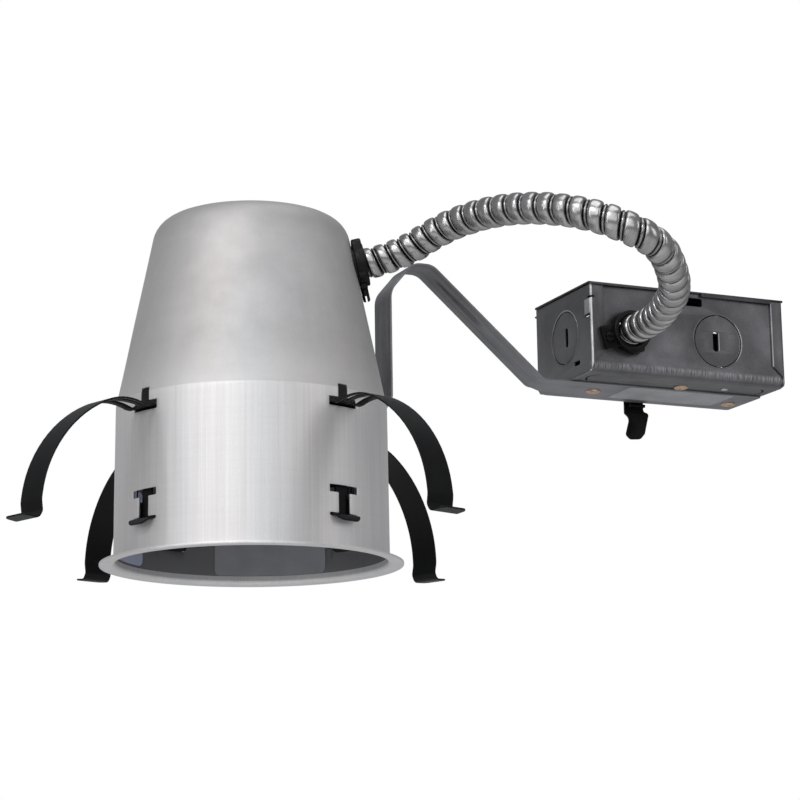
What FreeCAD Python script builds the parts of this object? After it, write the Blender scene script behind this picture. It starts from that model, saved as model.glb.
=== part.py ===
import FreeCAD, Part
import Sketcher
import math
import os

# Recessed light housing for fitting into a finished ceiling.  Millimetres.
# Origin: centre of the flange's upper face, +Z up into the ceiling void,
# +X towards the junction box.

V = FreeCAD.Vector
os.makedirs("parts", exist_ok=True)
doc = FreeCAD.newDocument("recessed_light_housing")

# ---------------------------------------------------------------- sizes
sheet = doc.addObject("Spreadsheet::Sheet", "Sizes")
SIZES = [
    ("sheet_thick", 1.0), ("can_radius", 67.5), ("can_top_of_tube", 77.2),
    ("can_tube_top_radius", 66.94), ("crown_radius", 36.4), ("crown_fillet", 13.1),
    ("can_height", 173.75), ("flange_radius", 74.4), ("flange_root", 69.0),
    ("flange_bend", 1.5), ("cone_end_radius", 49.23), ("cone_end_height", 163.29),
    ("crown_centre_height", 160.65), ("rear_right_turn", 24.0),
    ("rear_left_step", 84.5), ("front_left_step", 176.0), ("front_right_step", 266.0),
    ("upslot_low", 67.9), ("upslot_high", 72.4), ("upslot_half", 8.6),
    ("upslot_stem_half", 3.1), ("upslot_stem_top", 79.0),
    ("lowslot_a", 12.9), ("lowslot_b", 16.4), ("lowslot_c", 26.2), ("lowslot_d", 29.9),
    ("lowslot_half", 8.8), ("lowslot_stem_half", 3.6),
    ("clip_thick", 0.8), ("clip_width", 16.0), ("clip_leg_radius", 64.7),
    ("clip_hinge_radius", 66.8), ("clip_hinge_height", 70.0),
    ("clip_rear_right_rest", 4.0), ("clip_rear_left_rest", 1.5),
    ("prong_slot_in", 1.4), ("prong_slot_out", 5.0), ("prong_slot_start", 70.5),
    ("prong_slot_end", 96.0), ("neck_half", 3.0),
    ("strap_width", 20.0), ("strap_thick", 1.0), ("plate_far", 24.5),
    ("box_left", 174.0), ("box_right", 290.5), ("box_front", -33.0), ("box_rear", 27.7),
    ("box_bottom", 103.9), ("box_top", 150.5), ("box_bend", 4.5),
    ("knockout_dia", 28.3), ("knockout_slit", 0.35), ("pry_half", 1.65),
    ("front_ko_along", 250.0), ("front_ko_height", 125.8),
    ("side_ko_across", -4.5), ("side_ko_height", 127.5), ("side_ko_dia", 28.0),
    ("lid_over", 0.8), ("door_gap", 0.3), ("door_pin_across", 31.2),
    ("door_pin_height", 149.2), ("pin_radius", 1.2), ("knuckle_radius", 2.4),
    ("pin_clear", 0.05), ("latch_pin_across", 31.0), ("latch_pin_height", 110.0),
    ("conduit_dia", 16.0), ("conduit_bore", 14.4), ("fitting_bore", 8.3),
    ("fitting_nipple", 10.3), ("box_fitting_along", 196.0), ("box_fitting_height", 126.0),
    ("can_fitting_turn", -24.0), ("can_fitting_height", 150.0),
    ("rivet_shank", 2.0), ("rivet_head", 4.0),
    ("rail_across", 30.0), ("rail_width", 18.0), ("rail_low", 100.0), ("rail_slot", 5.2),
    ("lamp_plate_height", 112.0), ("lamp_plate_radius", 26.0), ("holder_radius", 19.0),
    ("holder_low", 76.0), ("shell_radius", 13.3), ("shell_out", 13.9),
]


class Dim:
    """A size with its number and the sheet expression that gives it."""
    def __init__(self, v, e):
        self.v = float(v)
        self.e = e

    def __add__(self, o):
        o = dim(o)
        return Dim(self.v + o.v, "(%s + %s)" % (self.e, o.e))

    def __radd__(self, o):
        return dim(o) + self

    def __sub__(self, o):
        o = dim(o)
        return Dim(self.v - o.v, "(%s - %s)" % (self.e, o.e))

    def __rsub__(self, o):
        return dim(o) - self

    def __mul__(self, o):
        o = dim(o)
        return Dim(self.v * o.v, "(%s * %s)" % (self.e, o.e))

    def __rmul__(self, o):
        return dim(o) * self

    def __truediv__(self, o):
        o = dim(o)
        return Dim(self.v / o.v, "(%s / %s)" % (self.e, o.e))

    def __neg__(self):
        return dim(0) - self


def dim(x):
    return x if isinstance(x, Dim) else Dim(x, "(%.6f)" % float(x))


D = {}
for row, (alias, value) in enumerate(SIZES, start=1):
    sheet.set("A%d" % row, alias)
    sheet.set("B%d" % row, "%g" % value)
    sheet.setAlias("B%d" % row, alias)
doc.recompute()
for alias, value in SIZES:
    D[alias] = Dim(getattr(sheet, alias), "Sizes." + alias)


def bind(o, prop, d):
    d = dim(d)
    if "Sizes." in d.e:
        o.setExpression(prop, d.e)
    else:
        target = o
        names = prop.split(".")
        if len(names) == 1:
            setattr(target, prop, d.v)
        else:
            b = V(o.Placement.Base)
            setattr(b, names[-1], d.v)
            o.Placement = FreeCAD.Placement(b, o.Placement.Rotation)


def place(o, x, y, z, rot=None):
    x, y, z = dim(x), dim(y), dim(z)
    o.Placement = FreeCAD.Placement(V(x.v, y.v, z.v), rot or FreeCAD.Rotation())
    bind(o, "Placement.Base.x", x)
    bind(o, "Placement.Base.y", y)
    bind(o, "Placement.Base.z", z)


def box(name, x0, x1, y0, y1, z0, z1):
    o = doc.addObject("Part::Box", name)
    bind(o, "Length", dim(x1) - x0)
    bind(o, "Width", dim(y1) - y0)
    bind(o, "Height", dim(z1) - z0)
    place(o, x0, y0, z0)
    return o


AXES = {"X": V(1, 0, 0), "Y": V(0, 1, 0), "Z": V(0, 0, 1),
        "-X": V(-1, 0, 0), "-Y": V(0, -1, 0), "-Z": V(0, 0, -1)}


def turned(direction):
    d = AXES[direction] if isinstance(direction, str) else direction
    return FreeCAD.Rotation(V(0, 0, 1), d)


def cyl(name, r, length, base, direction="Z"):
    o = doc.addObject("Part::Cylinder", name)
    bind(o, "Radius", r)
    bind(o, "Height", length)
    place(o, base[0], base[1], base[2], turned(direction))
    return o


def cone(name, r1, r2, length, base, direction="Z"):
    o = doc.addObject("Part::Cone", name)
    bind(o, "Radius1", r1)
    bind(o, "Radius2", r2)
    bind(o, "Height", length)
    place(o, base[0], base[1], base[2], turned(direction))
    return o


def fuse(name, items):
    if len(items) == 1:
        return items[0]
    o = doc.addObject("Part::MultiFuse", name)
    o.Shapes = items
    return o


def cut(name, base, tools):
    tool = tools if not isinstance(tools, list) else fuse(name + "_tools", tools)
    o = doc.addObject("Part::Cut", name)
    o.Base = base
    o.Tool = tool
    return o


def group(name, items):
    o = doc.addObject("Part::Compound", name)
    o.Links = items
    return o


def body_of(name):
    return doc.addObject("PartDesign::Body", name)


def profile(body, name, role, verts, arcs=None, offset=None):
    """Closed, fully constrained outline.  verts: (x, y); arcs: edge index ->
    (centre x, centre y, ccw).  Every corner and radius follows the sheet."""
    arcs = arcs or {}
    sk = body.newObject("Sketcher::SketchObject", name)
    plane = [o for o in body.Origin.OriginFeatures if o.Role == role][0]
    sk.AttachmentSupport = [(plane, "")]
    sk.MapMode = "FlatFace"
    if offset is not None:
        off = dim(offset)
        sk.AttachmentOffset = FreeCAD.Placement(V(0, 0, off.v), FreeCAD.Rotation())
        if "Sizes." in off.e:
            sk.setExpression("AttachmentOffset.Base.z", off.e)
    pts = [(dim(a), dim(b)) for a, b in verts]
    n = len(pts)
    ends = []
    for i in range(n):
        a, b = pts[i], pts[(i + 1) % n]
        if i in arcs:
            cx, cy, ccw = arcs[i]
            cx, cy = dim(cx).v, dim(cy).v
            r = math.hypot(a[0].v - cx, a[1].v - cy)
            t0 = math.atan2(a[1].v - cy, a[0].v - cx)
            t1 = math.atan2(b[1].v - cy, b[0].v - cx)
            if not ccw:
                t0, t1 = t1, t0
            while t1 < t0:
                t1 += 2 * math.pi
            sk.addGeometry(Part.ArcOfCircle(Part.Circle(V(cx, cy, 0), V(0, 0, 1), r), t0, t1))
            ends.append((1, 2) if ccw else (2, 1))
        else:
            sk.addGeometry(Part.LineSegment(V(a[0].v, a[1].v, 0), V(b[0].v, b[1].v, 0)))
            ends.append((1, 2))
    for i in range(n):
        j = (i + 1) % n
        sk.addConstraint(Sketcher.Constraint("Coincident", i, ends[i][1], j, ends[j][0]))
    for i in range(n):
        for kind, d in (("DistanceX", pts[i][0]), ("DistanceY", pts[i][1])):
            k = sk.addConstraint(Sketcher.Constraint(kind, -1, 1, i, ends[i][0], d.v))
            if "Sizes." in d.e:
                sk.setExpression("Constraints[%d]" % k, d.e)
        if i in arcs:
            cx, cy = dim(arcs[i][0]).v, dim(arcs[i][1]).v
            r = math.hypot(pts[i][0].v - cx, pts[i][1].v - cy)
            sk.addConstraint(Sketcher.Constraint("Radius", i, r))
    return sk


def pad(body, name, sk, length, reverse=False):
    p = body.newObject("PartDesign::Pad", name)
    p.Profile = sk
    bind(p, "Length", length)
    p.Reversed = reverse
    return p


T = D["sheet_thick"]
NODES = {}

# ---------------------------------------------------------------- the can
# One drawn shell: flange, tube, tapered upper part, rounded crown.
can = body_of("can_shell")
R, RT, ZT = D["can_radius"], D["can_tube_top_radius"], D["can_top_of_tube"]
FR, FB = D["flange_root"], D["flange_bend"]
CR, CH = D["crown_radius"], D["can_height"]
CC = D["crown_centre_height"]
ER, EZ = D["cone_end_radius"], D["cone_end_height"]
can_sk = profile(can, "can_section", "XZ_Plane", [
    (D["flange_radius"], -T), (D["flange_radius"], 0), (FR, 0), (R, FB),
    (RT, ZT), (ER, EZ), (CR, CH), (0, CH),
    (0, CH - T), (CR, CH - T), (ER - 0.98 * T, EZ - 0.2 * T), (RT - T, ZT),
    (R - T, FB), (FR, -T)],
    {2: (FR, FB, False), 5: (CR, CC, True), 9: (CR, CC, False), 12: (FR, FB, True)})
can_rev = can.newObject("PartDesign::Revolution", "can_turned")
can_rev.Profile = can_sk
can_rev.ReferenceAxis = (can_sk, ["V_Axis"])
can_rev.Angle = 360
doc.recompute()
UH, US = D["upslot_half"], D["upslot_stem_half"]
LH, LS = D["lowslot_half"], D["lowslot_stem_half"]
up_sk = profile(can, "upper_slot", "YZ_Plane", [
    (-UH, D["upslot_low"]), (UH, D["upslot_low"]), (UH, D["upslot_high"]),
    (US, D["upslot_high"]), (US, D["upslot_stem_top"]), (-US, D["upslot_stem_top"]),
    (-US, D["upslot_high"]), (-UH, D["upslot_high"])])
low_sk = profile(can, "lower_slot", "YZ_Plane", [
    (-LH, D["lowslot_a"]), (LH, D["lowslot_a"]), (LH, D["lowslot_b"]), (LS, D["lowslot_b"]),
    (LS, D["lowslot_c"]), (LH, D["lowslot_c"]), (LH, D["lowslot_d"]), (-LH, D["lowslot_d"]),
    (-LH, D["lowslot_c"]), (-LS, D["lowslot_c"]), (-LS, D["lowslot_b"]), (-LH, D["lowslot_b"])])
doc.recompute()
slots = []
for nm, sk in (("upper_slot_cut", up_sk), ("lower_slot_cut", low_sk)):
    before = can.Shape.Volume
    pk = can.newObject("PartDesign::Pocket", nm)
    pk.Profile = sk
    pk.Length = 90
    pk.Reversed = True
    doc.recompute()
    if can.Shape.Volume > before - 1:
        pk.Reversed = False
        doc.recompute()
    print(nm, "removes", round(before - can.Shape.Volume, 1), "mm3")
    slots.append(pk)
z_axis = [o for o in can.Origin.OriginFeatures if o.Role == "Z_Axis"][0]
for nm, step in (("rear_left_slots", D["rear_left_step"]), ("front_left_slots", D["front_left_step"]),
                 ("front_right_slots", D["front_right_step"])):
    before = can.Shape.Volume
    patt = can.newObject("PartDesign::PolarPattern", nm)
    patt.Originals = slots
    patt.Axis = (z_axis, [""])
    bind(patt, "Angle", step)
    patt.Occurrences = 2
    can.Tip = patt
    doc.recompute()
    print(nm, "removes", round(before - can.Shape.Volume, 1), "mm3")
can.Placement = FreeCAD.Placement(V(0, 0, 0), FreeCAD.Rotation(V(0, 0, 1), D["rear_right_turn"].v))
doc.recompute()

# Where the conduit fitting sits on the tapered wall
cone_slope = (RT.v - ER.v) / (EZ.v - ZT.v)
tilt = math.atan(cone_slope)
az = math.radians(D["can_fitting_turn"].v)
NF = V(math.cos(az) * math.cos(tilt), math.sin(az) * math.cos(tilt), math.sin(tilt))
zf = D["can_fitting_height"].v
rf = RT.v - cone_slope * (zf - ZT.v)
PF = V(rf * math.cos(az), rf * math.sin(az), zf)


def along(s):
    return PF + NF * s


RS, RH = D["rivet_shank"], D["rivet_head"]
foot_rivets = [66.5, 75.5]
can_cuts = [cyl("can_fitting_hole", D["fitting_nipple"] + 0.1, 12, tuple(along(-8)), NF)]
for i, z in enumerate(foot_rivets):
    can_cuts.append(cyl("can_rivet_hole_%d" % i, RS, 10, (62, 0, z), "X"))
rail_rivets_at = [(-5, 20), (5, 20)]
for i, (x, y) in enumerate(rail_rivets_at):
    can_cuts.append(cyl("can_rail_hole_%d" % i, RS, 8, (x, y, CH - 5), "Z"))
can_cuts.append(cyl("can_protector_hole", RS, 8, (-22, 0, CH - 5), "Z"))
NODES["housing_can"] = cut("housing_can", can, can_cuts)

# ---------------------------------------------------------------- formed strips
def bent(points, radii):
    """Centreline of a folded strip: straight runs with a bend at each corner."""
    out = []
    cur = points[0]
    for k in range(1, len(points) - 1):
        p, q, s = points[k - 1], points[k], points[k + 1]
        r = radii[k - 1]
        u = (q[0] - p[0], q[1] - p[1])
        w = (s[0] - q[0], s[1] - q[1])
        lu, lw = math.hypot(*u), math.hypot(*w)
        u = (u[0] / lu, u[1] / lu)
        w = (w[0] / lw, w[1] / lw)
        turn = math.atan2(u[0] * w[1] - u[1] * w[0], u[0] * w[0] + u[1] * w[1])
        tl = r * math.tan(abs(turn) / 2)
        a = (q[0] - u[0] * tl, q[1] - u[1] * tl)
        b = (q[0] + w[0] * tl, q[1] + w[1] * tl)
        out.append(("L", cur, a))
        side = 1 if turn > 0 else -1
        c = (a[0] - u[1] * r * side, a[1] + u[0] * r * side)
        a0 = math.atan2(a[1] - c[1], a[0] - c[0])
        out.append(("A", c, r, a0, a0 + turn))
        cur = b
    out.append(("L", cur, points[-1]))
    return out


def arc_to(c, p, q):
    r = math.hypot(p[0] - c[0], p[1] - c[1])
    a0 = math.atan2(p[1] - c[1], p[0] - c[0])
    a1 = math.atan2(q[1] - c[1], q[0] - c[0])
    while a1 > a0:
        a1 -= 2 * math.pi
    return ("A", c, r, a0, a1)


def strip_face(prims, t):
    """Outline of a strip of thickness t about its centreline, in the XZ plane."""
    def side(sgn):
        edges = []
        for p in prims:
            if p[0] == "L":
                a, b = p[1], p[2]
                L = math.hypot(b[0] - a[0], b[1] - a[1])
                n = (-(b[1] - a[1]) / L * t / 2 * sgn, (b[0] - a[0]) / L * t / 2 * sgn)
                edges.append(((a[0] + n[0], a[1] + n[1]), None, (b[0] + n[0], b[1] + n[1])))
            else:
                c, r, a0, a1 = p[1:]
                rr = r - sgn * t / 2 * (1 if a1 > a0 else -1)
                pt = [(c[0] + rr * math.cos(x), c[1] + rr * math.sin(x)) for x in (a0, (a0 + a1) / 2, a1)]
                edges.append((pt[0], pt[1], pt[2]))
        return edges
    left, right = side(1), side(-1)

    def v3(p):
        return V(p[0], 0, p[1])
    chain = []

    def run(seq, backward):
        pts = []
        for a, m, b in (reversed(seq) if backward else seq):
            pts.append((b, m, a) if backward else (a, m, b))
        return pts
    first, second = run(left, False), run(right, True)
    start = v3(first[0][0])
    cur = start
    for seq in (first, second):
        if (v3(seq[0][0]) - cur).Length > 1e-6:
            chain.append(Part.LineSegment(cur, v3(seq[0][0])).toShape())
            cur = v3(seq[0][0])
        for a, m, b in seq:
            end = v3(b)
            if m is None:
                chain.append(Part.LineSegment(cur, end).toShape())
            else:
                chain.append(Part.Arc(cur, v3(m), end).toShape())
            cur = end
    chain.append(Part.LineSegment(cur, start).toShape())
    return Part.Face(Part.Wire(chain))


def box_shape(x0, x1, y0, y1, z0, z1):
    return Part.makeBox(x1 - x0, y1 - y0, z1 - z0, V(x0, y0, z0))


# Spring clip: one strip.  Inner leg up the wall, out through the upper slot,
# then a long arched leaf down to a turned-out toe.  Its foot tab points out
# through the lower slot.
CT, CW = D["clip_thick"].v, D["clip_width"].v
LEG = D["clip_leg_radius"].v
clip_line = bent([(71.6, 13.8), (LEG, 13.8), (LEG, 68.66), (67.2, 69.44)], [1.5, 2.2])
clip_line.append(arc_to((78.81, 32.09), (67.2, 69.44), (95.86, 67.29)))
clip_line.append(arc_to((67.93, 9.59), (95.86, 67.29), (126.23, 36.23)))
clip_line.append(arc_to((74.1, 12.41), (126.23, 36.23), (130.93, 19.84)))
clip_line += bent([(130.93, 19.84), (131.3, 16.99), (130.6, 11.8), (132.6, 8.5), (140.7, 9.5)],
                  [9.0, 3.2, 2.6])
clip_shape = strip_face(clip_line, CT)
clip_shape.translate(V(0, -CW / 2, 0))
clip_shape = clip_shape.extrude(V(0, CW, 0))
NH = D["neck_half"].v
for s in (-1, 1):
    y0, y1 = sorted((s * NH, s * (CW / 2 + 1)))
    clip_shape = clip_shape.cut(box_shape(LEG - 1, LEG + 0.45, y0, y1, 16.6, 24.0))
    y0, y1 = sorted((s * D["prong_slot_in"].v, s * D["prong_slot_out"].v))
    clip_shape = clip_shape.cut(box_shape(D["prong_slot_start"].v, D["prong_slot_end"].v, y0, y1, 60, 80))


def corner_edges(shape, test, length):
    out = []
    for e in shape.Edges:
        c = e.CenterOfMass
        if abs(e.Length - length) < 0.05 and test(c):
            out.append(e)
    return out


toe = corner_edges(clip_shape, lambda c: c.x > 139.5 and abs(abs(c.y) - CW / 2) < 0.01, CT)
clip_shape = clip_shape.makeFillet(3.2, toe)
tab = corner_edges(clip_shape, lambda c: c.x > 71.0 and c.z < 16 and abs(abs(c.y) - CW / 2) < 0.01, CT)
clip_shape = clip_shape.makeFillet(3.5, tab)
HR, HZ = D["clip_hinge_radius"].v, D["clip_hinge_height"].v
CLIPS = [("clip_front_right", -70.0, 0.0), ("clip_rear_right", 24.0, D["clip_rear_right_rest"].v),
         ("clip_rear_left", 108.5, D["clip_rear_left_rest"].v), ("clip_front_left", 200.0, 0.0)]
for name, azimuth, rest in CLIPS:
    o = doc.addObject("Part::Feature", name)
    o.Shape = clip_shape
    fold = FreeCAD.Placement(V(0, 0, 0), FreeCAD.Rotation(V(0, 1, 0), rest), V(HR, 0, HZ))
    turn = FreeCAD.Placement(V(0, 0, 0), FreeCAD.Rotation(V(0, 0, 1), azimuth))
    o.Placement = turn.multiply(fold)
    NODES[name] = o

# ---------------------------------------------------------------- strap
ST, SW = D["strap_thick"].v, D["strap_width"].v
pz = D["box_bottom"].v - ST / 2
strap_line = bent([(67.65, 61.5), (67.65, 80.0), (71.7, 87.0), (71.7, 143.0), (84.5, 158.2),
                   (95.4, 158.2), (157.9, pz), (290.0, pz)],
                  [5.0, 5.0, 11.0, 9.0, 9.0, 5.0])
strap_shape = strip_face(strap_line, ST)
strap_shape.translate(V(0, -SW / 2, 0))
strap_shape = strap_shape.extrude(V(0, SW, 0))
PF2 = D["plate_far"].v
wide = Part.Face(Part.makePolygon([V(160, 9.5, pz - ST / 2), V(160, 10, pz - ST / 2), V(168, 16.2, pz - ST / 2),
                                   V(176, PF2, pz - ST / 2), V(290, PF2, pz - ST / 2),
                                   V(290, 9.5, pz - ST / 2), V(160, 9.5, pz - ST / 2)]))
strap_shape = strap_shape.fuse(wide.extrude(V(0, 0, ST))).removeSplitter()
plate_rivets = [(195.5, 6.0), (281.2, 9.8)]
for z in foot_rivets:
    strap_shape = strap_shape.cut(Part.makeCylinder(RS.v, 10, V(64, 0, z), V(1, 0, 0)))
for x, y in plate_rivets:
    strap_shape = strap_shape.cut(Part.makeCylinder(RS.v, 10, V(x, y, 98), V(0, 0, 1)))
strap = doc.addObject("Part::Feature", "arm_strap")
strap.Shape = strap_shape
NODES["arm_strap"] = strap


def rivet(name, at, direction, grip, head=None, tail=2.9):
    """Shank through the sheets, domed head outside, set head inside.
    at: the outer sheet face, direction: outwards."""
    d = AXES[direction] if isinstance(direction, str) else direction
    p = V(*[float(dim(a).v) for a in at])
    head = head or RH
    b = p - d * grip
    return fuse(name, [
        cyl(name + "_shank", RS, grip, tuple(b), d),
        cone(name + "_head", head, dim(head) * 0.62, 1.5, tuple(p), d),
        cyl(name + "_set", tail, 0.9, tuple(b), d * -1)])


r_out = 68.15
NODES["strap_rivets"] = group("strap_rivets", [
    rivet("strap_rivet_%d" % i, (r_out, 0, z), "X", r_out - 65.85, tail=2.6) for i, z in enumerate(foot_rivets)])

# ---------------------------------------------------------------- junction box
XL, XR = D["box_left"], D["box_right"]
YF, YR = D["box_front"], D["box_rear"]
ZB, ZTOP = D["box_bottom"], D["box_top"]
BB = D["box_bend"]
KO, SL = D["knockout_dia"], D["knockout_slit"]

# Front wall and bottom: one folded sheet
wrap = body_of("box_wrap")
wrap_sk = profile(wrap, "wrap_section", "YZ_Plane", [
    (YR, ZB), (YR, ZB + T), (YF + BB, ZB + T), (YF + T, ZB + BB), (YF + T, ZTOP),
    (YF, ZTOP), (YF, ZB + BB), (YF + BB, ZB)],
    {2: (YF + BB, ZB + BB, False), 6: (YF + BB, ZB + BB, True)}, offset=XL + T)
pad(wrap, "wrap_pad", wrap_sk, XR - XL - 2 * T)
doc.recompute()


def knockout(name, centre, axis, dia):
    """Slit round a blank that stays on two ties, with its pry slot."""
    d = AXES[axis]
    c = V(*centre)
    r = dim(dia) / 2
    ring = cut(name + "_ring", cyl(name + "_outer", r, 4, tuple(c - d * 2), axis),
               cyl(name + "_inner", r - SL, 6, tuple(c - d * 3), axis))
    h = dim(dia).v / 2
    if axis == "Y":
        tie = box(name + "_ties", c.x - 1.4, c.x + 1.4, c.y - 3, c.y + 3, c.z - h - 1, c.z + h + 1)
    else:
        tie = box(name + "_ties", c.x - 3, c.x + 3, c.y - 1.4, c.y + 1.4, c.z - h - 1, c.z + h + 1)
    return cut(name, ring, tie)


wx, wz = D["front_ko_along"].v, D["front_ko_height"].v
wrap_cuts = [
    knockout("front_ko", (wx, YF.v + 0.5, wz), "Y", KO),
    box("front_pry", wx - 2.9, wx + 0.4, YF - 1, YF + 2, wz - 5.6, wz + 5.1),
    cyl("box_fitting_hole", D["fitting_nipple"] + 0.1, 6, (D["box_fitting_along"], YF - 2, D["box_fitting_height"]), "Y"),
    box("cable_slot", 226.0, 241.3, YF - 1, YF + 2, 143.6, 148.1),
]
for i, (x, y) in enumerate(plate_rivets + [(237.2, -14.9)]):
    wrap_cuts.append(cyl("wrap_rivet_hole_%d" % i, RS, 6, (x, y, ZB - 2), "Z"))
wrap_cuts.append(cyl("ground_hole", 1.9, 6, (262.0, -18.0, ZB - 2), "Z"))
for nm, cx, x0, x1, cyy in (("left", 188.0, 176.5, 184.0, -19.5), ("right", 276.5, 280.0, 287.5, -16.0)):
    ring = cut("lance_ring_" + nm, cyl("lance_out_" + nm, 9.6, 4, (cx, cyy, ZB - 1), "Z"),
               cyl("lance_in_" + nm, 8.6, 6, (cx, cyy, ZB - 2), "Z"))
    com = doc.addObject("Part::Common", "lance_" + nm)
    com.Base = ring
    com.Tool = box("lance_lim_" + nm, x0, x1, cyy - 8.5, cyy + 8.5, ZB - 2, ZB + 3)
    wrap_cuts.append(com)
NODES["box_body"] = cut("box_body", wrap, wrap_cuts)

# End plates: wall, folded front flange outside the front wall, inner feet
def end_plate(name, x_out, sgn, foot, top_foot, holes):
    """sgn +1: plate thickens towards +X from its outer face."""
    def span(a, b):
        lo, hi = (a, b) if dim(a).v < dim(b).v else (b, a)
        return lo, hi
    items = []
    x0, x1 = span(x_out, x_out + T * sgn)
    b = body_of(name + "_wall")
    sk = profile(b, name + "_outline", "YZ_Plane", [
        (YF - T, ZB + 6.0), (YF - T, ZTOP - 0.5), (YF - T + 0.5, ZTOP), (YR, ZTOP),
        (YR, ZB + 2.0), (YR - 2.0, ZB), (YF + BB, ZB), (YF + BB - 4.0, ZB + 0.6), (YF - 0.2, ZB + 3.0)],
        offset=x0)
    pad(b, name + "_wall_pad", sk, T)
    items.append(b)
    fx0, fx1 = span(x_out, x_out + 7.5 * sgn)
    fb = body_of(name + "_front")
    if sgn > 0:
        pts = [(fx0, ZB + 6.0), (fx0 + 2.0, ZB + 6.0), (fx1, ZB + 11.0), (fx1, ZTOP - 0.5), (fx0, ZTOP - 0.5)]
    else:
        pts = [(fx1, ZTOP - 0.5), (fx0, ZTOP - 0.5), (fx0, ZB + 11.0), (fx1 - 2.0, ZB + 6.0), (fx1, ZB + 6.0)]
    fsk = profile(fb, name + "_front_outline", "XZ_Plane", pts, offset=-YF)
    pad(fb, name + "_front_pad", fsk, T)
    items.append(fb)
    g0, g1 = span(x_out + T * sgn, x_out + foot * sgn)
    items.append(box(name + "_foot", g0, g1, YF + 8, YR - 5, ZB + T, ZB + 2 * T))
    g0, g1 = span(x_out + T * sgn, x_out + top_foot * sgn)
    items.append(box(name + "_top_foot", g0, g1, -14, 14, ZTOP - T, ZTOP))
    whole = fuse(name + "_sheet", items)
    return cut(name, whole, holes)


sy, sz = D["side_ko_across"].v, D["side_ko_height"].v
lid_screw_at = [(179.5, 0.0), (285.0, 0.0)]
left_holes = [
    knockout("left_ko", (XL.v + 0.5, sy, sz), "X", D["side_ko_dia"]),
    box("left_pry", XL - 1, XL + 2, sy - 3.5, sy - 0.1, sz - 5.5, sz + 4.9),
    box("left_window", XL - 1, XL + 2, -20.4, -13.7, 110.0, 112.4),
    box("corner_notch_low", XL - 1, XL + 3.2, YF - 2, YF + 0.0, 131.2, 134.3),
    box("corner_notch_high", XL - 1, XL + 3.2, YF - 2, YF + 0.0, 144.7, 147.2),
    cyl("left_lid_hole", 1.6, 6, (lid_screw_at[0][0], 0, ZTOP - 3), "Z"),
]
NODES["box_end_left"] = end_plate("box_end_left", XL, 1, 8.0, 9.0, left_holes)
right_holes = [
    knockout("right_ko", (XR.v - 0.5, sy, sz), "X", D["side_ko_dia"]),
    box("right_pry", XR - 2, XR + 1, sy - 3.5, sy - 0.1, sz - 5.5, sz + 4.9),
    cyl("right_lid_hole", 1.6, 6, (lid_screw_at[1][0], 0, ZTOP - 3), "Z"),
]
NODES["box_end_right"] = end_plate("box_end_right", XR, -1, 5.0, 9.0, right_holes)

# Lid with a front lip, and hinge ears at the rear edge
DY, DZ = D["door_pin_across"], D["door_pin_height"]
KR, PR, PC = D["knuckle_radius"], D["pin_radius"], D["pin_clear"]
LO = D["lid_over"]
lid_items = [
    box("lid_plate", XL - LO, XR + LO, YF - T - LO, YR + 1.3, ZTOP, ZTOP + T),
    box("lid_lip_right", 240.0, XR - 7.9, YF - T - LO, YF - T - 0.05, ZTOP - 1.8, ZTOP),
    box("lid_lip_left", XL - LO, 222.0, YF - T - LO, YF - T - 0.05, ZTOP - 0.7, ZTOP),
]
hinge_at = [(186.0, 10.0), (262.0, 10.0)]
for i, (x, w) in enumerate(hinge_at):
    for k, (a, b) in enumerate(((x, x + 5.0), (x + 5.0 + w + 0.6, x + 10.0 + w + 0.6))):
        lid_items.append(cyl("lid_ear_%d_%d" % (i, k), KR, b - a, (a, DY, DZ), "X"))
        lid_items.append(box("lid_arm_%d_%d" % (i, k), a, b, YR, DY, ZTOP, ZTOP + T))
lid_solid = fuse("lid_solid", lid_items)
lid_cuts = [cyl("lid_bore_%d" % i, PR, w + 14, (x - 2, DY, DZ), "X") for i, (x, w) in enumerate(hinge_at)]
lid_cuts += [cyl("lid_screw_hole_%d" % i, 1.9, 6, (x, y, ZTOP - 3), "Z") for i, (x, y) in enumerate(lid_screw_at)]
NODES["box_lid"] = cut("box_lid", lid_solid, lid_cuts)


def screw(name, at, direction, shank_r, length, head_r, head_h, slot=True):
    """Pan head on the face at 'at', shank going back along -direction."""
    d = AXES[direction] if isinstance(direction, str) else direction
    p = V(*[float(dim(a).v) for a in at])
    o = fuse(name + "_blank", [cyl(name + "_shank", shank_r, length, tuple(p - d * length), d),
                               cyl(name + "_head", head_r, head_h, tuple(p), d)])
    if not slot:
        return o
    side = V(0, 0, 1) if abs(d.z) < 0.9 else V(1, 0, 0)
    u = side.cross(d)
    u.normalize()
    sl = doc.addObject("Part::Box", name + "_slot")
    sl.Length, sl.Width, sl.Height = head_r * 2.2, 0.9, head_h
    rot = FreeCAD.Rotation(u, d.cross(u), d, "ZXY")
    corner = p + d * (head_h * 0.5) - rot.multVec(V(head_r * 1.1, 0.45, 0))
    sl.Placement = FreeCAD.Placement(corner, rot)
    return cut(name, o, sl)


NODES["lid_screws"] = group("lid_screws", [
    screw("lid_screw_%d" % i, (x, y, ZTOP + T), "Z", 1.6, 6.5, 3.4, 1.8) for i, (x, y) in enumerate(lid_screw_at)])

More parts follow.
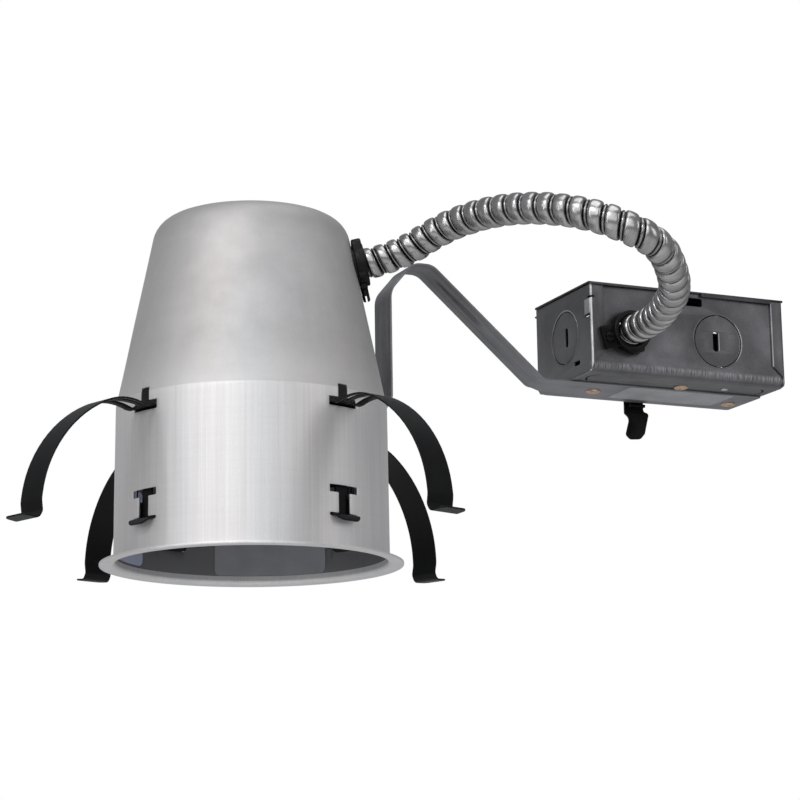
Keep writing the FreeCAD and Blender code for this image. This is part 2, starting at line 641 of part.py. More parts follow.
# Rear access door, hung from the lid's ears
GY = YR + D["door_gap"]
door_items = [box("door_plate", XL + 1.5, XR - 1.5, GY, GY + T, ZB + 0.6, ZTOP - 2.5)]
door_cuts = []
for i, (x, w) in enumerate(hinge_at):
    a = x + 5.3
    door_items.append(cyl("door_knuckle_%d" % i, KR, w, (a, DY, DZ), "X"))
    door_items.append(box("door_arm_%d" % i, a, a + w, GY, DY, ZTOP - 3.5, ZTOP - 2.5))
    door_cuts.append(cyl("door_bore_%d" % i, PR + PC, w + 4, (a - 2, DY, DZ), "X"))
LY, LZ = D["latch_pin_across"], D["latch_pin_height"]
for i, x in enumerate((225.6, 241.2)):
    door_items.append(box("latch_ear_%d" % i, x, x + 1.2, GY + T, LY + 2.2, LZ - 2.5, LZ + 2.5))
door_cuts.append(cyl("latch_ear_bore", 1.2, 22, (222, LY, LZ), "X"))
NODES["box_door"] = cut("box_door", fuse("door_solid", door_items), door_cuts)
NODES["hinge_pins"] = group("hinge_pins", [
    cyl("hinge_pin_%d" % i, PR, w + 10.6, (x, DY, DZ), "X") for i, (x, w) in enumerate(hinge_at)])

# Latch lever: flat paddle hanging below the box, hub round its pin, hook
# under the box bottom
lev = body_of("latch_blade")
lev_sk = profile(lev, "latch_outline", "XZ_Plane", [
    (239.7, LZ), (239.7, 99.4), (243.2, 98.9), (240.2, 87.2), (237.6, 84.2), (231.4, 83.7),
    (228.7, 86.2), (231.3, 95.4), (228.2, 98.0), (228.2, LZ)], offset=-(LY + 0.9))
pad(lev, "latch_blade_pad", lev_sk, 1.8)
lev_items = [lev, cyl("latch_hub", 1.9, 13.8, (227.0, LY, LZ), "X"),
             box("latch_hook", 229.5, 238.5, 25.6, LY - 0.5, 101.0, 102.6)]
NODES["latch_lever"] = cut("latch_lever", fuse("latch_solid", lev_items),
                           cyl("latch_bore", 1.25, 22, (222, LY, LZ), "X"))
NODES["latch_pin"] = cyl("latch_pin", 1.2, 17.6, (225.2, LY, LZ), "X")

# ---------------------------------------------------------------- fittings
FN, FBR = D["fitting_nipple"], D["fitting_bore"]
bx, bz = D["box_fitting_along"], D["box_fitting_height"]
bf = [cyl("bf_nipple", FN, 13.0, (bx, YF - 4.0, bz), "Y"),
      cyl("bf_collar", 10.75, 5.4, (bx, YF - 0.4, bz), "-Y")]
ear = doc.addObject("Part::Box", "bf_ear")
ear.Length, ear.Width, ear.Height = 12.0, 2.2, 12.4
ear.Placement = FreeCAD.Placement(V(181.3, YF.v - 3.6, 115.2), FreeCAD.Rotation(V(0, 1, 0), -15))
bf.append(ear)
tab = doc.addObject("Part::Box", "bf_tab")
tab.Length, tab.Width, tab.Height = 7.0, 2.2, 5.0
tab.Placement = FreeCAD.Placement(V(197.0, YF.v - 3.6, 114.4), FreeCAD.Rotation(V(0, 1, 0), -20))
bf.append(tab)
NODES["box_connector"] = cut("box_connector", fuse("bf_solid", bf), [
    cyl("bf_bore_front", FBR, 9.2, (bx, YF - 3.0, bz), "-Y"),
    cyl("bf_bore_back", 7.2, 14, (bx, YF - 3.2, bz), "Y"),
    cyl("bf_screw_hole", 1.6, 12, (183.2, YF - 9, 121.8), "Y")])
NODES["box_clamp_screw"] = screw("box_clamp_screw", (183.2, YF.v - 3.6, 121.8), "-Y", 1.6, 2.4, 2.4, 1.1)


def locknut(name, axis_point, d, r_in, r_out, t):
    """Ring nut with four driving lugs."""
    c = V(*[float(dim(a).v) for a in axis_point])
    items = [cyl(name + "_ring", r_out, t, tuple(c), d)]
    side = V(0, 0, 1) if abs(d.z) < 0.9 else V(1, 0, 0)
    u = side.cross(d)
    u.normalize()
    w = d.cross(u)
    for k in range(4):
        a = k * math.pi / 2 + 0.4
        e = u * math.cos(a) + w * math.sin(a)
        rot = FreeCAD.Rotation(e, d.cross(e), d, "ZXY")
        lug = doc.addObject("Part::Box", "%s_lug_%d" % (name, k))
        lug.Length, lug.Width, lug.Height = 2.6, 4.0, t
        lug.Placement = FreeCAD.Placement(c + e * (r_out - 0.8) - d.cross(e) * 2.0, rot)
        items.append(lug)
    return cut(name, fuse(name + "_blank", items), cyl(name + "_bore", r_in, t + 4, tuple(c - d * 2), d))


NODES["box_locknut"] = locknut("box_locknut", (bx, YF.v + 1.0, bz), V(0, 1, 0), FN, 13.2, 2.4)

# The fitting on the can: built along the wall's normal
cf = [cyl("cf_nipple", FN, 7.6, tuple(along(-6.0)), NF), cyl("cf_collar", 10.9, 5.4, tuple(along(0.2)), NF)]
up = V(0, 0, 1) - NF * NF.z
up.normalize()
across = up.cross(NF)
RF = FreeCAD.Rotation(across, up, NF, "ZXY")


def fit_box(name, a0, a1, u0, u1, n0, n1):
    o = doc.addObject("Part::Box", name)
    o.Length, o.Width, o.Height = a1 - a0, u1 - u0, n1 - n0
    o.Placement = FreeCAD.Placement(PF + across * a0 + up * u0 + NF * n0, RF)
    return o


cf += [fit_box("cf_plate", -9.0, 9.0, -9.0, 12.4, 0.1, 5.0),
       fit_box("cf_boss", -3.0, 3.0, -12.9, -8.5, 0.1, 3.7)]
NODES["can_connector"] = cut("can_connector", fuse("cf_solid", cf), [
    cyl("cf_bore_front", FBR, 12, tuple(along(3.6)), NF),
    cyl("cf_bore_back", 7.2, 16, tuple(along(-9.0)), NF),
    cyl("cf_screw_hole", 1.2, 5.45, tuple(along(1.95) - up * 13.0), up)])
NODES["can_clamp_screw"] = screw("can_clamp_screw", tuple(along(1.95) - up * 12.9), up * -1, 1.2, 5.3, 1.8, 6.0)
NODES["can_locknut"] = locknut("can_locknut", tuple(along(-2.95)), NF * -1, FN, 13.2, 2.2)

# ---------------------------------------------------------------- conduit
# Flexible metal conduit, all of it in view: straight runs and tangent arcs.
start = V(bx.v, YF.v - 3.0, bz.v)
finish = along(4.0)
route = [start, V(196.0, -60.0, 126.0), V(188.3, -85.4, 126.0), V(181.76, -106.95, 129.3),
         V(169.9, -124.4, 133.7), V(155.9, -138.9, 140.4), V(138.5, -140.8, 147.2),
         V(119.8, -125.1, 158.0), V(101.3, -90.3, 167.8), V(85.5, -51.7, 168.1),
         along(4.0) + NF * 18.0, finish]
edges = []
cur = route[0]
total = 0.0
radii = []
for k in range(1, len(route) - 1):
    p, q, s = route[k - 1], route[k], route[k + 1]
    u, w = q - p, s - q
    lu, lw = u.Length, w.Length
    u.normalize()
    w.normalize()
    ang = math.acos(max(-1, min(1, u.dot(w))))
    r = 0.45 * min(lu, lw) / math.tan(ang / 2)
    radii.append(r)
    tl = r * math.tan(ang / 2)
    a, b = q - u * tl, q + w * tl
    n = u.cross(w)
    n.normalize()
    toc = n.cross(u)
    c = a + toc * r
    mid = (a - c) + (b - c)
    mid.normalize()
    edges.append(Part.LineSegment(cur, a).toShape())
    edges.append(Part.Arc(a, c + mid * r, b).toShape())
    total += (a - cur).Length + r * ang
    cur = b
edges.append(Part.LineSegment(cur, route[-1]).toShape())
total += (route[-1] - cur).Length
print("conduit bend radii", [round(x, 1) for x in radii])
path = Part.Wire(edges)


def tube(r):
    ring = Part.Wire([Part.makeCircle(r, route[0], (route[1] - route[0]).normalize())])
    return path.makePipeShell([ring], True, False)


CO, CI = D["conduit_dia"].v / 2, D["conduit_bore"].v / 2
conduit_shape = tube(CO).cut(tube(CI))
want = math.pi * (CO ** 2 - CI ** 2) * total
print("conduit length", round(total, 2), "volume", round(conduit_shape.Volume, 1), "wanted", round(want, 1))
cond = doc.addObject("Part::Feature", "conduit")
cond.Shape = conduit_shape
NODES["conduit"] = cond

# ---------------------------------------------------------------- rivets in the box
NODES["copper_rivets"] = group("copper_rivets", [
    rivet("copper_rivet_0", (plate_rivets[0][0], plate_rivets[0][1], ZB.v - ST), "-Z", ST + T.v),
    rivet("copper_rivet_1", (plate_rivets[1][0], plate_rivets[1][1], ZB.v - ST), "-Z", ST + T.v, tail=2.6),
    rivet("copper_rivet_2", (237.2, -14.9, ZB.v), "-Z", T.v + 1.2)])
# Cable clamp inside the box, behind the cable slot, held by the third rivet
clamp = body_of("clamp_strip")
clamp_sk = profile(clamp, "clamp_section", "YZ_Plane", [
    (-8.0, ZB + T), (-8.0, ZB + T + 1.2), (-25.8, ZB + T + 1.2), (-25.8, 141.0), (-20.0, 146.6),
    (-20.8, 147.4), (-27.0, 141.5), (-27.0, ZB + T)], offset=230.0)
pad(clamp, "clamp_pad", clamp_sk, 15.0)
NODES["cable_clamp"] = cut("cable_clamp", clamp, cyl("clamp_hole", RS, 8, (237.2, -14.9, ZB - 1), "Z"))
NODES["ground_screw"] = screw("ground_screw", (262.0, -18.0, ZB.v + T.v), "Z", 1.9, 1.6, 4.2, 2.2)

# ---------------------------------------------------------------- inside the can
RY, RW = D["rail_across"], D["rail_width"]
rail = fuse("rail_solid", [
    box("rail_leg", -RW / 2, RW / 2, RY - 1.2, RY, D["rail_low"], CH - T - 0.02),
    box("rail_foot", -RW / 2, RW / 2, 13.0, RY, CH - T - 1.22, CH - T - 0.02)])
NODES["lamp_rail"] = cut("lamp_rail", rail, [
    box("rail_slot_cut", -D["rail_slot"] / 2, D["rail_slot"] / 2, RY - 3, RY + 3, 105.0, 161.0)] + [
    cyl("rail_rivet_hole_%d" % i, RS, 8, (x, y, CH - 6), "Z") for i, (x, y) in enumerate(rail_rivets_at)])
NODES["rail_rivets"] = group("rail_rivets", [
    rivet("rail_rivet_%d" % i, (x, y, CH.v), "Z", T.v + 1.22, head=3.4, tail=2.7)
    for i, (x, y) in enumerate(rail_rivets_at)])

LP = D["lamp_plate_height"]
lp = fuse("lamp_plate_solid", [
    cyl("lamp_disc", D["lamp_plate_radius"], 1.2, (0, 0, LP), "Z"),
    box("lamp_neck", -8.0, 8.0, 15.0, RY - 1.5, LP, LP + 1.2),
    box("lamp_tab", -8.0, 8.0, RY - 2.7, RY - 1.5, LP, LP + 18.0)])
holder_screws_at = [(-16.0, 0.0), (16.0, 0.0)]
NODES["lamp_plate"] = cut("lamp_plate", lp, [
    cyl("lamp_wire_hole", 5.0, 6, (0, 0, LP - 2), "Z"),
    cyl("lamp_bolt_hole", 2.4, 8, (0, RY - 6, LP + 9.0), "Y")] + [
    cyl("lamp_screw_hole_%d" % i, 1.6, 6, (x, y, LP - 2), "Z") for i, (x, y) in enumerate(holder_screws_at)])
NODES["slide_bolt"] = fuse("slide_bolt", [
    cyl("slide_bolt_shank", 2.4, 9.5, (0, RY - 2.7, LP + 9.0), "Y"),
    cyl("slide_bolt_head", 4.6, 1.8, (0, RY - 4.5, LP + 9.0), "Y")])
wing = fuse("wing_solid", [
    cyl("wing_hub", 4.2, 4.6, (0, RY + 0.35, LP + 9.0), "Y"),
    box("wing_left", -10.5, -2.0, RY + 1.6, RY + 3.2, LP + 6.8, LP + 11.2),
    box("wing_right", 2.0, 10.5, RY + 1.6, RY + 3.2, LP + 6.8, LP + 11.2)])
NODES["wing_nut"] = cut("wing_nut", wing, cyl("wing_bore", 2.4, 12, (0, RY - 2, LP + 9.0), "Y"))

HB, HL = D["holder_radius"], D["holder_low"]
hold = fuse("holder_solid", [cyl("holder_cup", HB, LP - HL, (0, 0, HL), "Z"),
                             cyl("holder_band", HB + 1.6, 3.0, (0, 0, HL), "Z")])
NODES["lamp_holder"] = cut("lamp_holder", hold, [
    cyl("holder_cavity", D["shell_out"], LP - HL - 8.0, (0, 0, HL - 2), "Z"),
    cyl("holder_eye", 2.2, 20, (0, 0, LP - 14), "Z")] + [
    cyl("holder_screw_hole_%d" % i, 1.6, 12, (x, y, LP - 9.0), "Z") for i, (x, y) in enumerate(holder_screws_at)])
shell_top = LP - 10.0
NODES["screw_shell"] = cut("screw_shell", cyl("shell_tube", D["shell_out"], shell_top - HL - 2.0, (0, 0, HL + 2.0), "Z"),
                           cyl("shell_bore", D["shell_radius"], shell_top - HL - 1.0 - 1.6, (0, 0, HL), "Z"))
shell_hole = NODES["screw_shell"]
NODES["screw_shell"] = cut("screw_shell_ring", shell_hole, cyl("shell_eye", 6.0, 8, (0, 0, shell_top - 4), "Z"))
NODES["centre_contact"] = fuse("centre_contact", [
    cyl("contact_stem", 2.2, 11.0, (0, 0, LP - 11.0), "Z"),
    cyl("contact_disc", 4.5, 1.2, (0, 0, LP - 12.2), "Z")])
NODES["holder_screws"] = group("holder_screws", [
    screw("holder_screw_%d" % i, (x, y, LP.v + 1.2), "Z", 1.6, 9.0, 3.0, 1.7)
    for i, (x, y) in enumerate(holder_screws_at)])

# Thermal protector under the crown, on one rivet
prot = cut("thermal_protector", box("protector_body", -33.0, -15.0, -7.5, 7.5, 163.5, CH - T - 0.02),
           cyl("protector_hole", RS, 12, (-22, 0, CH - 11), "Z"))
NODES["thermal_protector"] = prot
NODES["protector_rivet"] = rivet("protector_rivet", (-22, 0, CH.v), "Z", CH.v - 163.5, head=3.4, tail=2.7)

# ---------------------------------------------------------------- labels
NODES["strap_label"] = box("strap_label", 210.0, 274.0, -9.2, 17.5, ZB - ST - 0.12, ZB - ST)


def wall_label(name, a0, a1, z0, z1):
    """Thin blank label on the can's inner wall."""
    r_hi = R.v - T.v - 0.56 * (z1 - 1.5) / 75.7 - 0.02
    sector = Part.makeCylinder(r_hi, z1 - z0, V(0, 0, z0), V(0, 0, 1), a1 - a0)
    sector = sector.cut(Part.makeCylinder(r_hi - 0.15, z1 - z0 + 2, V(0, 0, z0 - 1), V(0, 0, 1), 360))
    sector.rotate(V(0, 0, 0), V(0, 0, 1), a0)
    o = doc.addObject("Part::Feature", name)
    o.Shape = sector
    return o


NODES["label_inner_left"] = wall_label("label_inner_left", 126.0, 166.0, 4.6, 42.0)
NODES["label_inner_far"] = wall_label("label_inner_far", 35.0, 86.5, 3.8, 40.0)

# ---------------------------------------------------------------- check and write
doc.recompute()
for o in doc.Objects:
    if "Invalid" in o.State or "Error" in o.State:
        raise RuntimeError("failed object: %s %s" % (o.Name, o.State))
for name, o in NODES.items():
    o.Label = name
    shape = o.Shape
    if shape.isNull() or not shape.isValid():
        raise RuntimeError("bad shape: " + name)
    count = len(shape.Solids)
    bb = shape.BoundBox
    print("%-18s solids %d  vol %10.1f  x %.1f..%.1f y %.1f..%.1f z %.1f..%.1f" % (
        name, count, shape.Volume, bb.XMin, bb.XMax, bb.YMin, bb.YMax, bb.ZMin, bb.ZMax))
    shape.exportStep("parts/%s.step" % name)
print(len(NODES), "nodes written")
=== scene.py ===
import math
import bpy
import bmesh
from mathutils import Vector, Matrix, noise


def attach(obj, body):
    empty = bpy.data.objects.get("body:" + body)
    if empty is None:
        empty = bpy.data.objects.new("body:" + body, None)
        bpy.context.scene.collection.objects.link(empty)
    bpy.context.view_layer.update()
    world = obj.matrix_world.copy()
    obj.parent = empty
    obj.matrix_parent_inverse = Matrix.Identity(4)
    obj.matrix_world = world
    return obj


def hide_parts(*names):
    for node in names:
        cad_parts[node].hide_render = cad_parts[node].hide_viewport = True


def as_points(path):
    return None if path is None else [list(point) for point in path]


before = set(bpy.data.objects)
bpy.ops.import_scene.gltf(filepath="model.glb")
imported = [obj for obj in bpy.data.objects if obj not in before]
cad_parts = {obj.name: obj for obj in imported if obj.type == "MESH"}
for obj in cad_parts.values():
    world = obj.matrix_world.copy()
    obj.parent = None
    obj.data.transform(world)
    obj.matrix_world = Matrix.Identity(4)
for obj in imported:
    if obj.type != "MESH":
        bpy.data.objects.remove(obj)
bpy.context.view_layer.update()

S = 0.001
pi = math.pi
scene = bpy.context.scene

# ------------------------------------------------------------------ camera
cam_data = bpy.data.cameras.new("camera")
cam = bpy.data.objects.new("camera", cam_data)
scene.collection.objects.link(cam)
fwd = Vector((0.39740663, 0.89304152, 0.21105643))
rgt = Vector((0.91476253, -0.40374681, -0.01407217))
upv = Vector((-0.07264633, -0.19865889, 0.97737258))
m = Matrix((rgt, upv, -fwd)).transposed().to_4x4()
m.translation = Vector((-0.4118967978, -1.1063113294, -0.1732474414))
cam.matrix_world = m
cam_data.sensor_width = 36.0
cam_data.lens = 2430.934935 * 36.0 / 800.0
cam_data.clip_start = 0.01
cam_data.clip_end = 50
scene.camera = cam
scene.view_settings.view_transform = "Standard"
scene.view_settings.look = "None"


# ------------------------------------------------------------------ material tools
class Nodes:
    def __init__(self, name):
        self.mat = bpy.data.materials.new(name)
        self.mat.use_nodes = True
        self.t = self.mat.node_tree
        self.t.nodes.clear()
        self.out = self.t.nodes.new("ShaderNodeOutputMaterial")
        self.b = self.t.nodes.new("ShaderNodeBsdfPrincipled")
        self.t.links.new(self.b.outputs[0], self.out.inputs[0])
        self.co = self.t.nodes.new("ShaderNodeTexCoord").outputs["Object"]

    def link(self, a, b):
        self.t.links.new(a, b)

    def mapping(self, scale, rot=(0, 0, 0), src=None):
        n = self.t.nodes.new("ShaderNodeMapping")
        n.inputs["Scale"].default_value = scale
        n.inputs["Rotation"].default_value = rot
        self.link(src or self.co, n.inputs["Vector"])
        return n.outputs[0]

    def noise(self, vec, scale=1.0, detail=4.0, rough=0.55, distort=0.0):
        n = self.t.nodes.new("ShaderNodeTexNoise")
        n.inputs["Scale"].default_value = scale
        n.inputs["Detail"].default_value = detail
        n.inputs["Roughness"].default_value = rough
        n.inputs["Distortion"].default_value = distort
        self.link(vec, n.inputs["Vector"])
        return n.outputs["Fac"]

    def voronoi(self, vec, scale, feature="F1"):
        n = self.t.nodes.new("ShaderNodeTexVoronoi")
        n.feature = feature
        n.inputs["Scale"].default_value = scale
        self.link(vec, n.inputs["Vector"])
        return n.outputs["Color"] if feature == "F1" else n.outputs["Distance"]

    def ramp(self, fac, stops, interp="LINEAR"):
        n = self.t.nodes.new("ShaderNodeValToRGB")
        n.color_ramp.interpolation = interp
        e = n.color_ramp.elements
        while len(e) < len(stops):
            e.new(0.5)
        for i, (p, c) in enumerate(stops):
            e[i].position = p
            e[i].color = (c, c, c, 1) if isinstance(c, (int, float)) else (*c, 1)
        self.link(fac, n.inputs[0])
        return n.outputs[0]

    def math(self, op, a, b=None, clamp=False):
        n = self.t.nodes.new("ShaderNodeMath")
        n.operation = op
        n.use_clamp = clamp
        for i, v in enumerate((a, b)):
            if v is None:
                continue
            if isinstance(v, (int, float)):
                n.inputs[i].default_value = v
            else:
                self.link(v, n.inputs[i])
        return n.outputs[0]

    def mix(self, fac, a, b, mode="MIX"):
        n = self.t.nodes.new("ShaderNodeMix")
        n.data_type = "RGBA"
        n.blend_type = mode
        for sock, v in ((n.inputs["Factor"], fac), (n.inputs["A"], a), (n.inputs["B"], b)):
            if isinstance(v, (int, float)):
                sock.default_value = v if sock.type == "VALUE" else (v, v, v, 1)
            elif isinstance(v, tuple):
                sock.default_value = (*v, 1)
            else:
                self.link(v, sock)
        return n.outputs["Result"]

    def sep(self, src=None):
        n = self.t.nodes.new("ShaderNodeSeparateXYZ")
        self.link(src or self.co, n.inputs[0])
        return n.outputs

    def bump(self, height, strength, dist):
        n = self.t.nodes.new("ShaderNodeBump")
        n.inputs["Strength"].default_value = strength
        n.inputs["Distance"].default_value = dist
        self.link(height, n.inputs["Height"])
        self.link(n.outputs[0], self.b.inputs["Normal"])
        return n

    def put(self, name, v):
        s = self.b.inputs[name]
        if isinstance(v, (int, float)):
            s.default_value = v
        elif isinstance(v, tuple):
            s.default_value = (*v, 1) if len(v) == 3 else v
        else:
            self.link(v, s)


def can_metal():
    k = Nodes("can_aluminium")
    x, y, z = k.sep()
    rr = k.math("SQRT", k.math("ADD", k.math("MULTIPLY", x, x), k.math("MULTIPLY", y, y)))
    tube = k.math("MULTIPLY", k.math("SUBTRACT", 0.0775, z), 1500, clamp=True)
    # radius of the mid-wall at this height, to tell the outer face from the inner one
    wall_t = k.math("SUBTRACT", 0.0670, k.math("MULTIPLY", z, 0.0074))
    wall_c = k.math("SUBTRACT", 0.06644, k.math("MULTIPLY", k.math("SUBTRACT", z, 0.0772), 0.2057))
    inner_t = k.math("LESS_THAN", rr, wall_t)
    inner_c = k.math("LESS_THAN", rr, wall_c)
    inner = k.math("MULTIPLY", k.math("MAXIMUM", k.math("MULTIPLY", inner_t, tube), k.math("MULTIPLY", inner_c, k.math("SUBTRACT", 1.0, tube))),
                   k.math("MULTIPLY", k.math("LESS_THAN", z, 0.166), k.math("GREATER_THAN", z, 0.0035)))
    fine = k.noise(k.mapping((1300, 1300, 7)), 1.0, 3, 0.62)
    mid = k.noise(k.mapping((330, 330, 3)), 1.0, 3, 0.6)
    wide = k.noise(k.mapping((95, 95, 5)), 1.0, 2, 0.5)
    broad = k.noise(k.mapping((34, 34, 6)), 1.0, 2, 0.5)
    cloud = k.noise(k.mapping((34, 34, 50)), 1.0, 5, 0.62)
    grain = k.noise(k.co, 1900, 2, 0.7)
    hor = k.noise(k.mapping((26, 26, 620)), 1.0, 3, 0.6)
    streak = k.math("ADD", k.math("MULTIPLY", fine, 0.42), k.math("ADD", k.math("MULTIPLY", mid, 0.33), k.math("MULTIPLY", wide, 0.25)))
    base_tube = k.ramp(streak, [(0.34, 0.66), (0.5, 0.715), (0.66, 0.78)])
    base_cone = k.ramp(cloud, [(0.3, 0.445), (0.5, 0.49), (0.72, 0.535)])
    base_cone = k.mix(0.35, base_cone, k.ramp(streak, [(0.34, 0.45), (0.66, 0.53)]))
    # painted light and shade: the taper is lighter low down and darker over the crown
    low = k.math("MULTIPLY", k.math("SUBTRACT", 0.1020, z), 40, clamp=True)
    base_cone = k.mix(k.math("MULTIPLY", low, 0.55), base_cone, 0.66)
    high = k.math("MULTIPLY", k.math("SUBTRACT", z, 0.1560), 70, clamp=True)
    base_cone = k.mix(k.math("MULTIPLY", high, 0.45), base_cone, 0.30)
    base = k.mix(tube, base_cone, base_tube)
    base = k.mix(k.math("MULTIPLY", k.ramp(grain, [(0.35, 0.0), (0.75, 1.0)]), 0.16), base, 0.40)
    tint = k.ramp(broad, [(0.35, (0.975, 0.972, 0.985)), (0.5, (1.0, 0.98, 0.975)), (0.68, (1.0, 0.965, 0.95))])
    base = k.mix(1.0, base, tint, "MULTIPLY")
    base = k.mix(k.math("MULTIPLY", k.ramp(hor, [(0.45, 0.0), (0.72, 1.0)]), 0.05), base, 0.38)
    # painted highlight: a lighter band where the tube meets the tapered part
    painted_highlight_band = k.math("SUBTRACT", 1.0, k.math("MULTIPLY", k.math("ABSOLUTE", k.math("SUBTRACT", z, 0.0772)), 620), clamp=True)
    base = k.mix(k.math("MULTIPLY", painted_highlight_band, 0.10), base, 0.60)
    # painted shade: the inner face of the wall is darkened
    inside = k.mix(0.92, base, (0.20, 0.20, 0.205))
    base = k.mix(inner, base, inside)
    k.put("Base Color", base)
    k.put("Metallic", 0.86)
    r_tube = k.ramp(streak, [(0.3, 0.60), (0.7, 0.55)])
    r_cone = k.ramp(cloud, [(0.3, 0.68), (0.7, 0.62)])
    k.put("Roughness", k.mix(tube, r_cone, r_tube))
    h = k.math("ADD", k.math("MULTIPLY", streak, 0.6), k.math("ADD", k.math("MULTIPLY", cloud, 0.5), k.math("MULTIPLY", grain, 0.10)))
    k.bump(h, 0.055, 0.0004)
    return k.mat


def steel(name, dark, light, metallic=0.9, rough=(0.38, 0.55), streak=(60, 60, 60), speck=0.35, tint=(1, 1, 1.02), bump=0.12):
    k = Nodes(name)
    a = k.noise(k.mapping(streak), 1.0, 5, 0.62)
    s = k.noise(k.co, 1500, 3, 0.7)
    c = k.noise(k.co, 34, 4, 0.6)
    f = k.math("ADD", k.math("MULTIPLY", a, 0.5), k.math("MULTIPLY", c, 0.5))
    f = k.math("ADD", k.math("MULTIPLY", f, 1 - speck * 0.5), k.math("MULTIPLY", s, speck * 0.5))
    d = tuple(dark * t for t in tint)
    l = tuple(light * t for t in tint)
    mid = tuple((dark + light) / 2 * t for t in tint)
    k.put("Base Color", k.ramp(f, [(0.36, d), (0.5, mid), (0.64, l)]))
    k.put("Metallic", metallic)
    k.put("Roughness", k.ramp(f, [(0.35, rough[1]), (0.65, rough[0])]))
    k.bump(f, bump, 0.0006)
    return k.mat


def strap_metal():
    k = Nodes("strap_galvanised")
    x, y, z = k.sep()
    a = k.noise(k.mapping((14, 420, 14)), 1.0, 5, 0.62)
    g = k.noise(k.co, 1500, 3, 0.7)
    c = k.noise(k.co, 34, 4, 0.6)
    f = k.math("ADD", k.math("MULTIPLY", a, 0.44), k.math("ADD", k.math("MULTIPLY", c, 0.44), k.math("MULTIPLY", g, 0.12)))
    base = k.ramp(f, [(0.36, (0.17, 0.168, 0.177)), (0.5, (0.24, 0.238, 0.25)), (0.64, (0.31, 0.307, 0.322))])
    # painted shade in and around the pressed bead
    along = k.math("MULTIPLY", k.math("MULTIPLY", k.math("SUBTRACT", x, 0.0985), 300, clamp=True),
                   k.math("MULTIPLY", k.math("SUBTRACT", 0.1275, x), 300, clamp=True))
    slope_only = k.math("GREATER_THAN", z, 0.1285)
    off = k.math("ABSOLUTE", k.math("ADD", y, 0.0016))
    near = k.math("SUBTRACT", 1.0, k.math("MULTIPLY", k.math("SUBTRACT", off, 0.0010), 420, clamp=True))
    bead_painted_shade = k.math("MULTIPLY", k.math("MULTIPLY", along, near), slope_only)
    base = k.mix(k.math("MULTIPLY", bead_painted_shade, 0.55), base, (0.085, 0.084, 0.088))
    # painted shade: the strap is darker from the top bend onward, above z 115 mm
    upper_painted_shade = k.math("MULTIPLY", k.math("MULTIPLY", k.math("SUBTRACT", z, 0.1150), 26, clamp=True), k.math("GREATER_THAN", x, 0.0790))
    base = k.mix(k.math("MULTIPLY", upper_painted_shade, 0.42), base, (0.10, 0.099, 0.103))
    k.put("Base Color", base)
    k.put("Metallic", 0.9)
    k.put("Roughness", k.ramp(f, [(0.35, 0.52), (0.65, 0.38)]))
    k.bump(f, 0.10, 0.0006)
    return k.mat


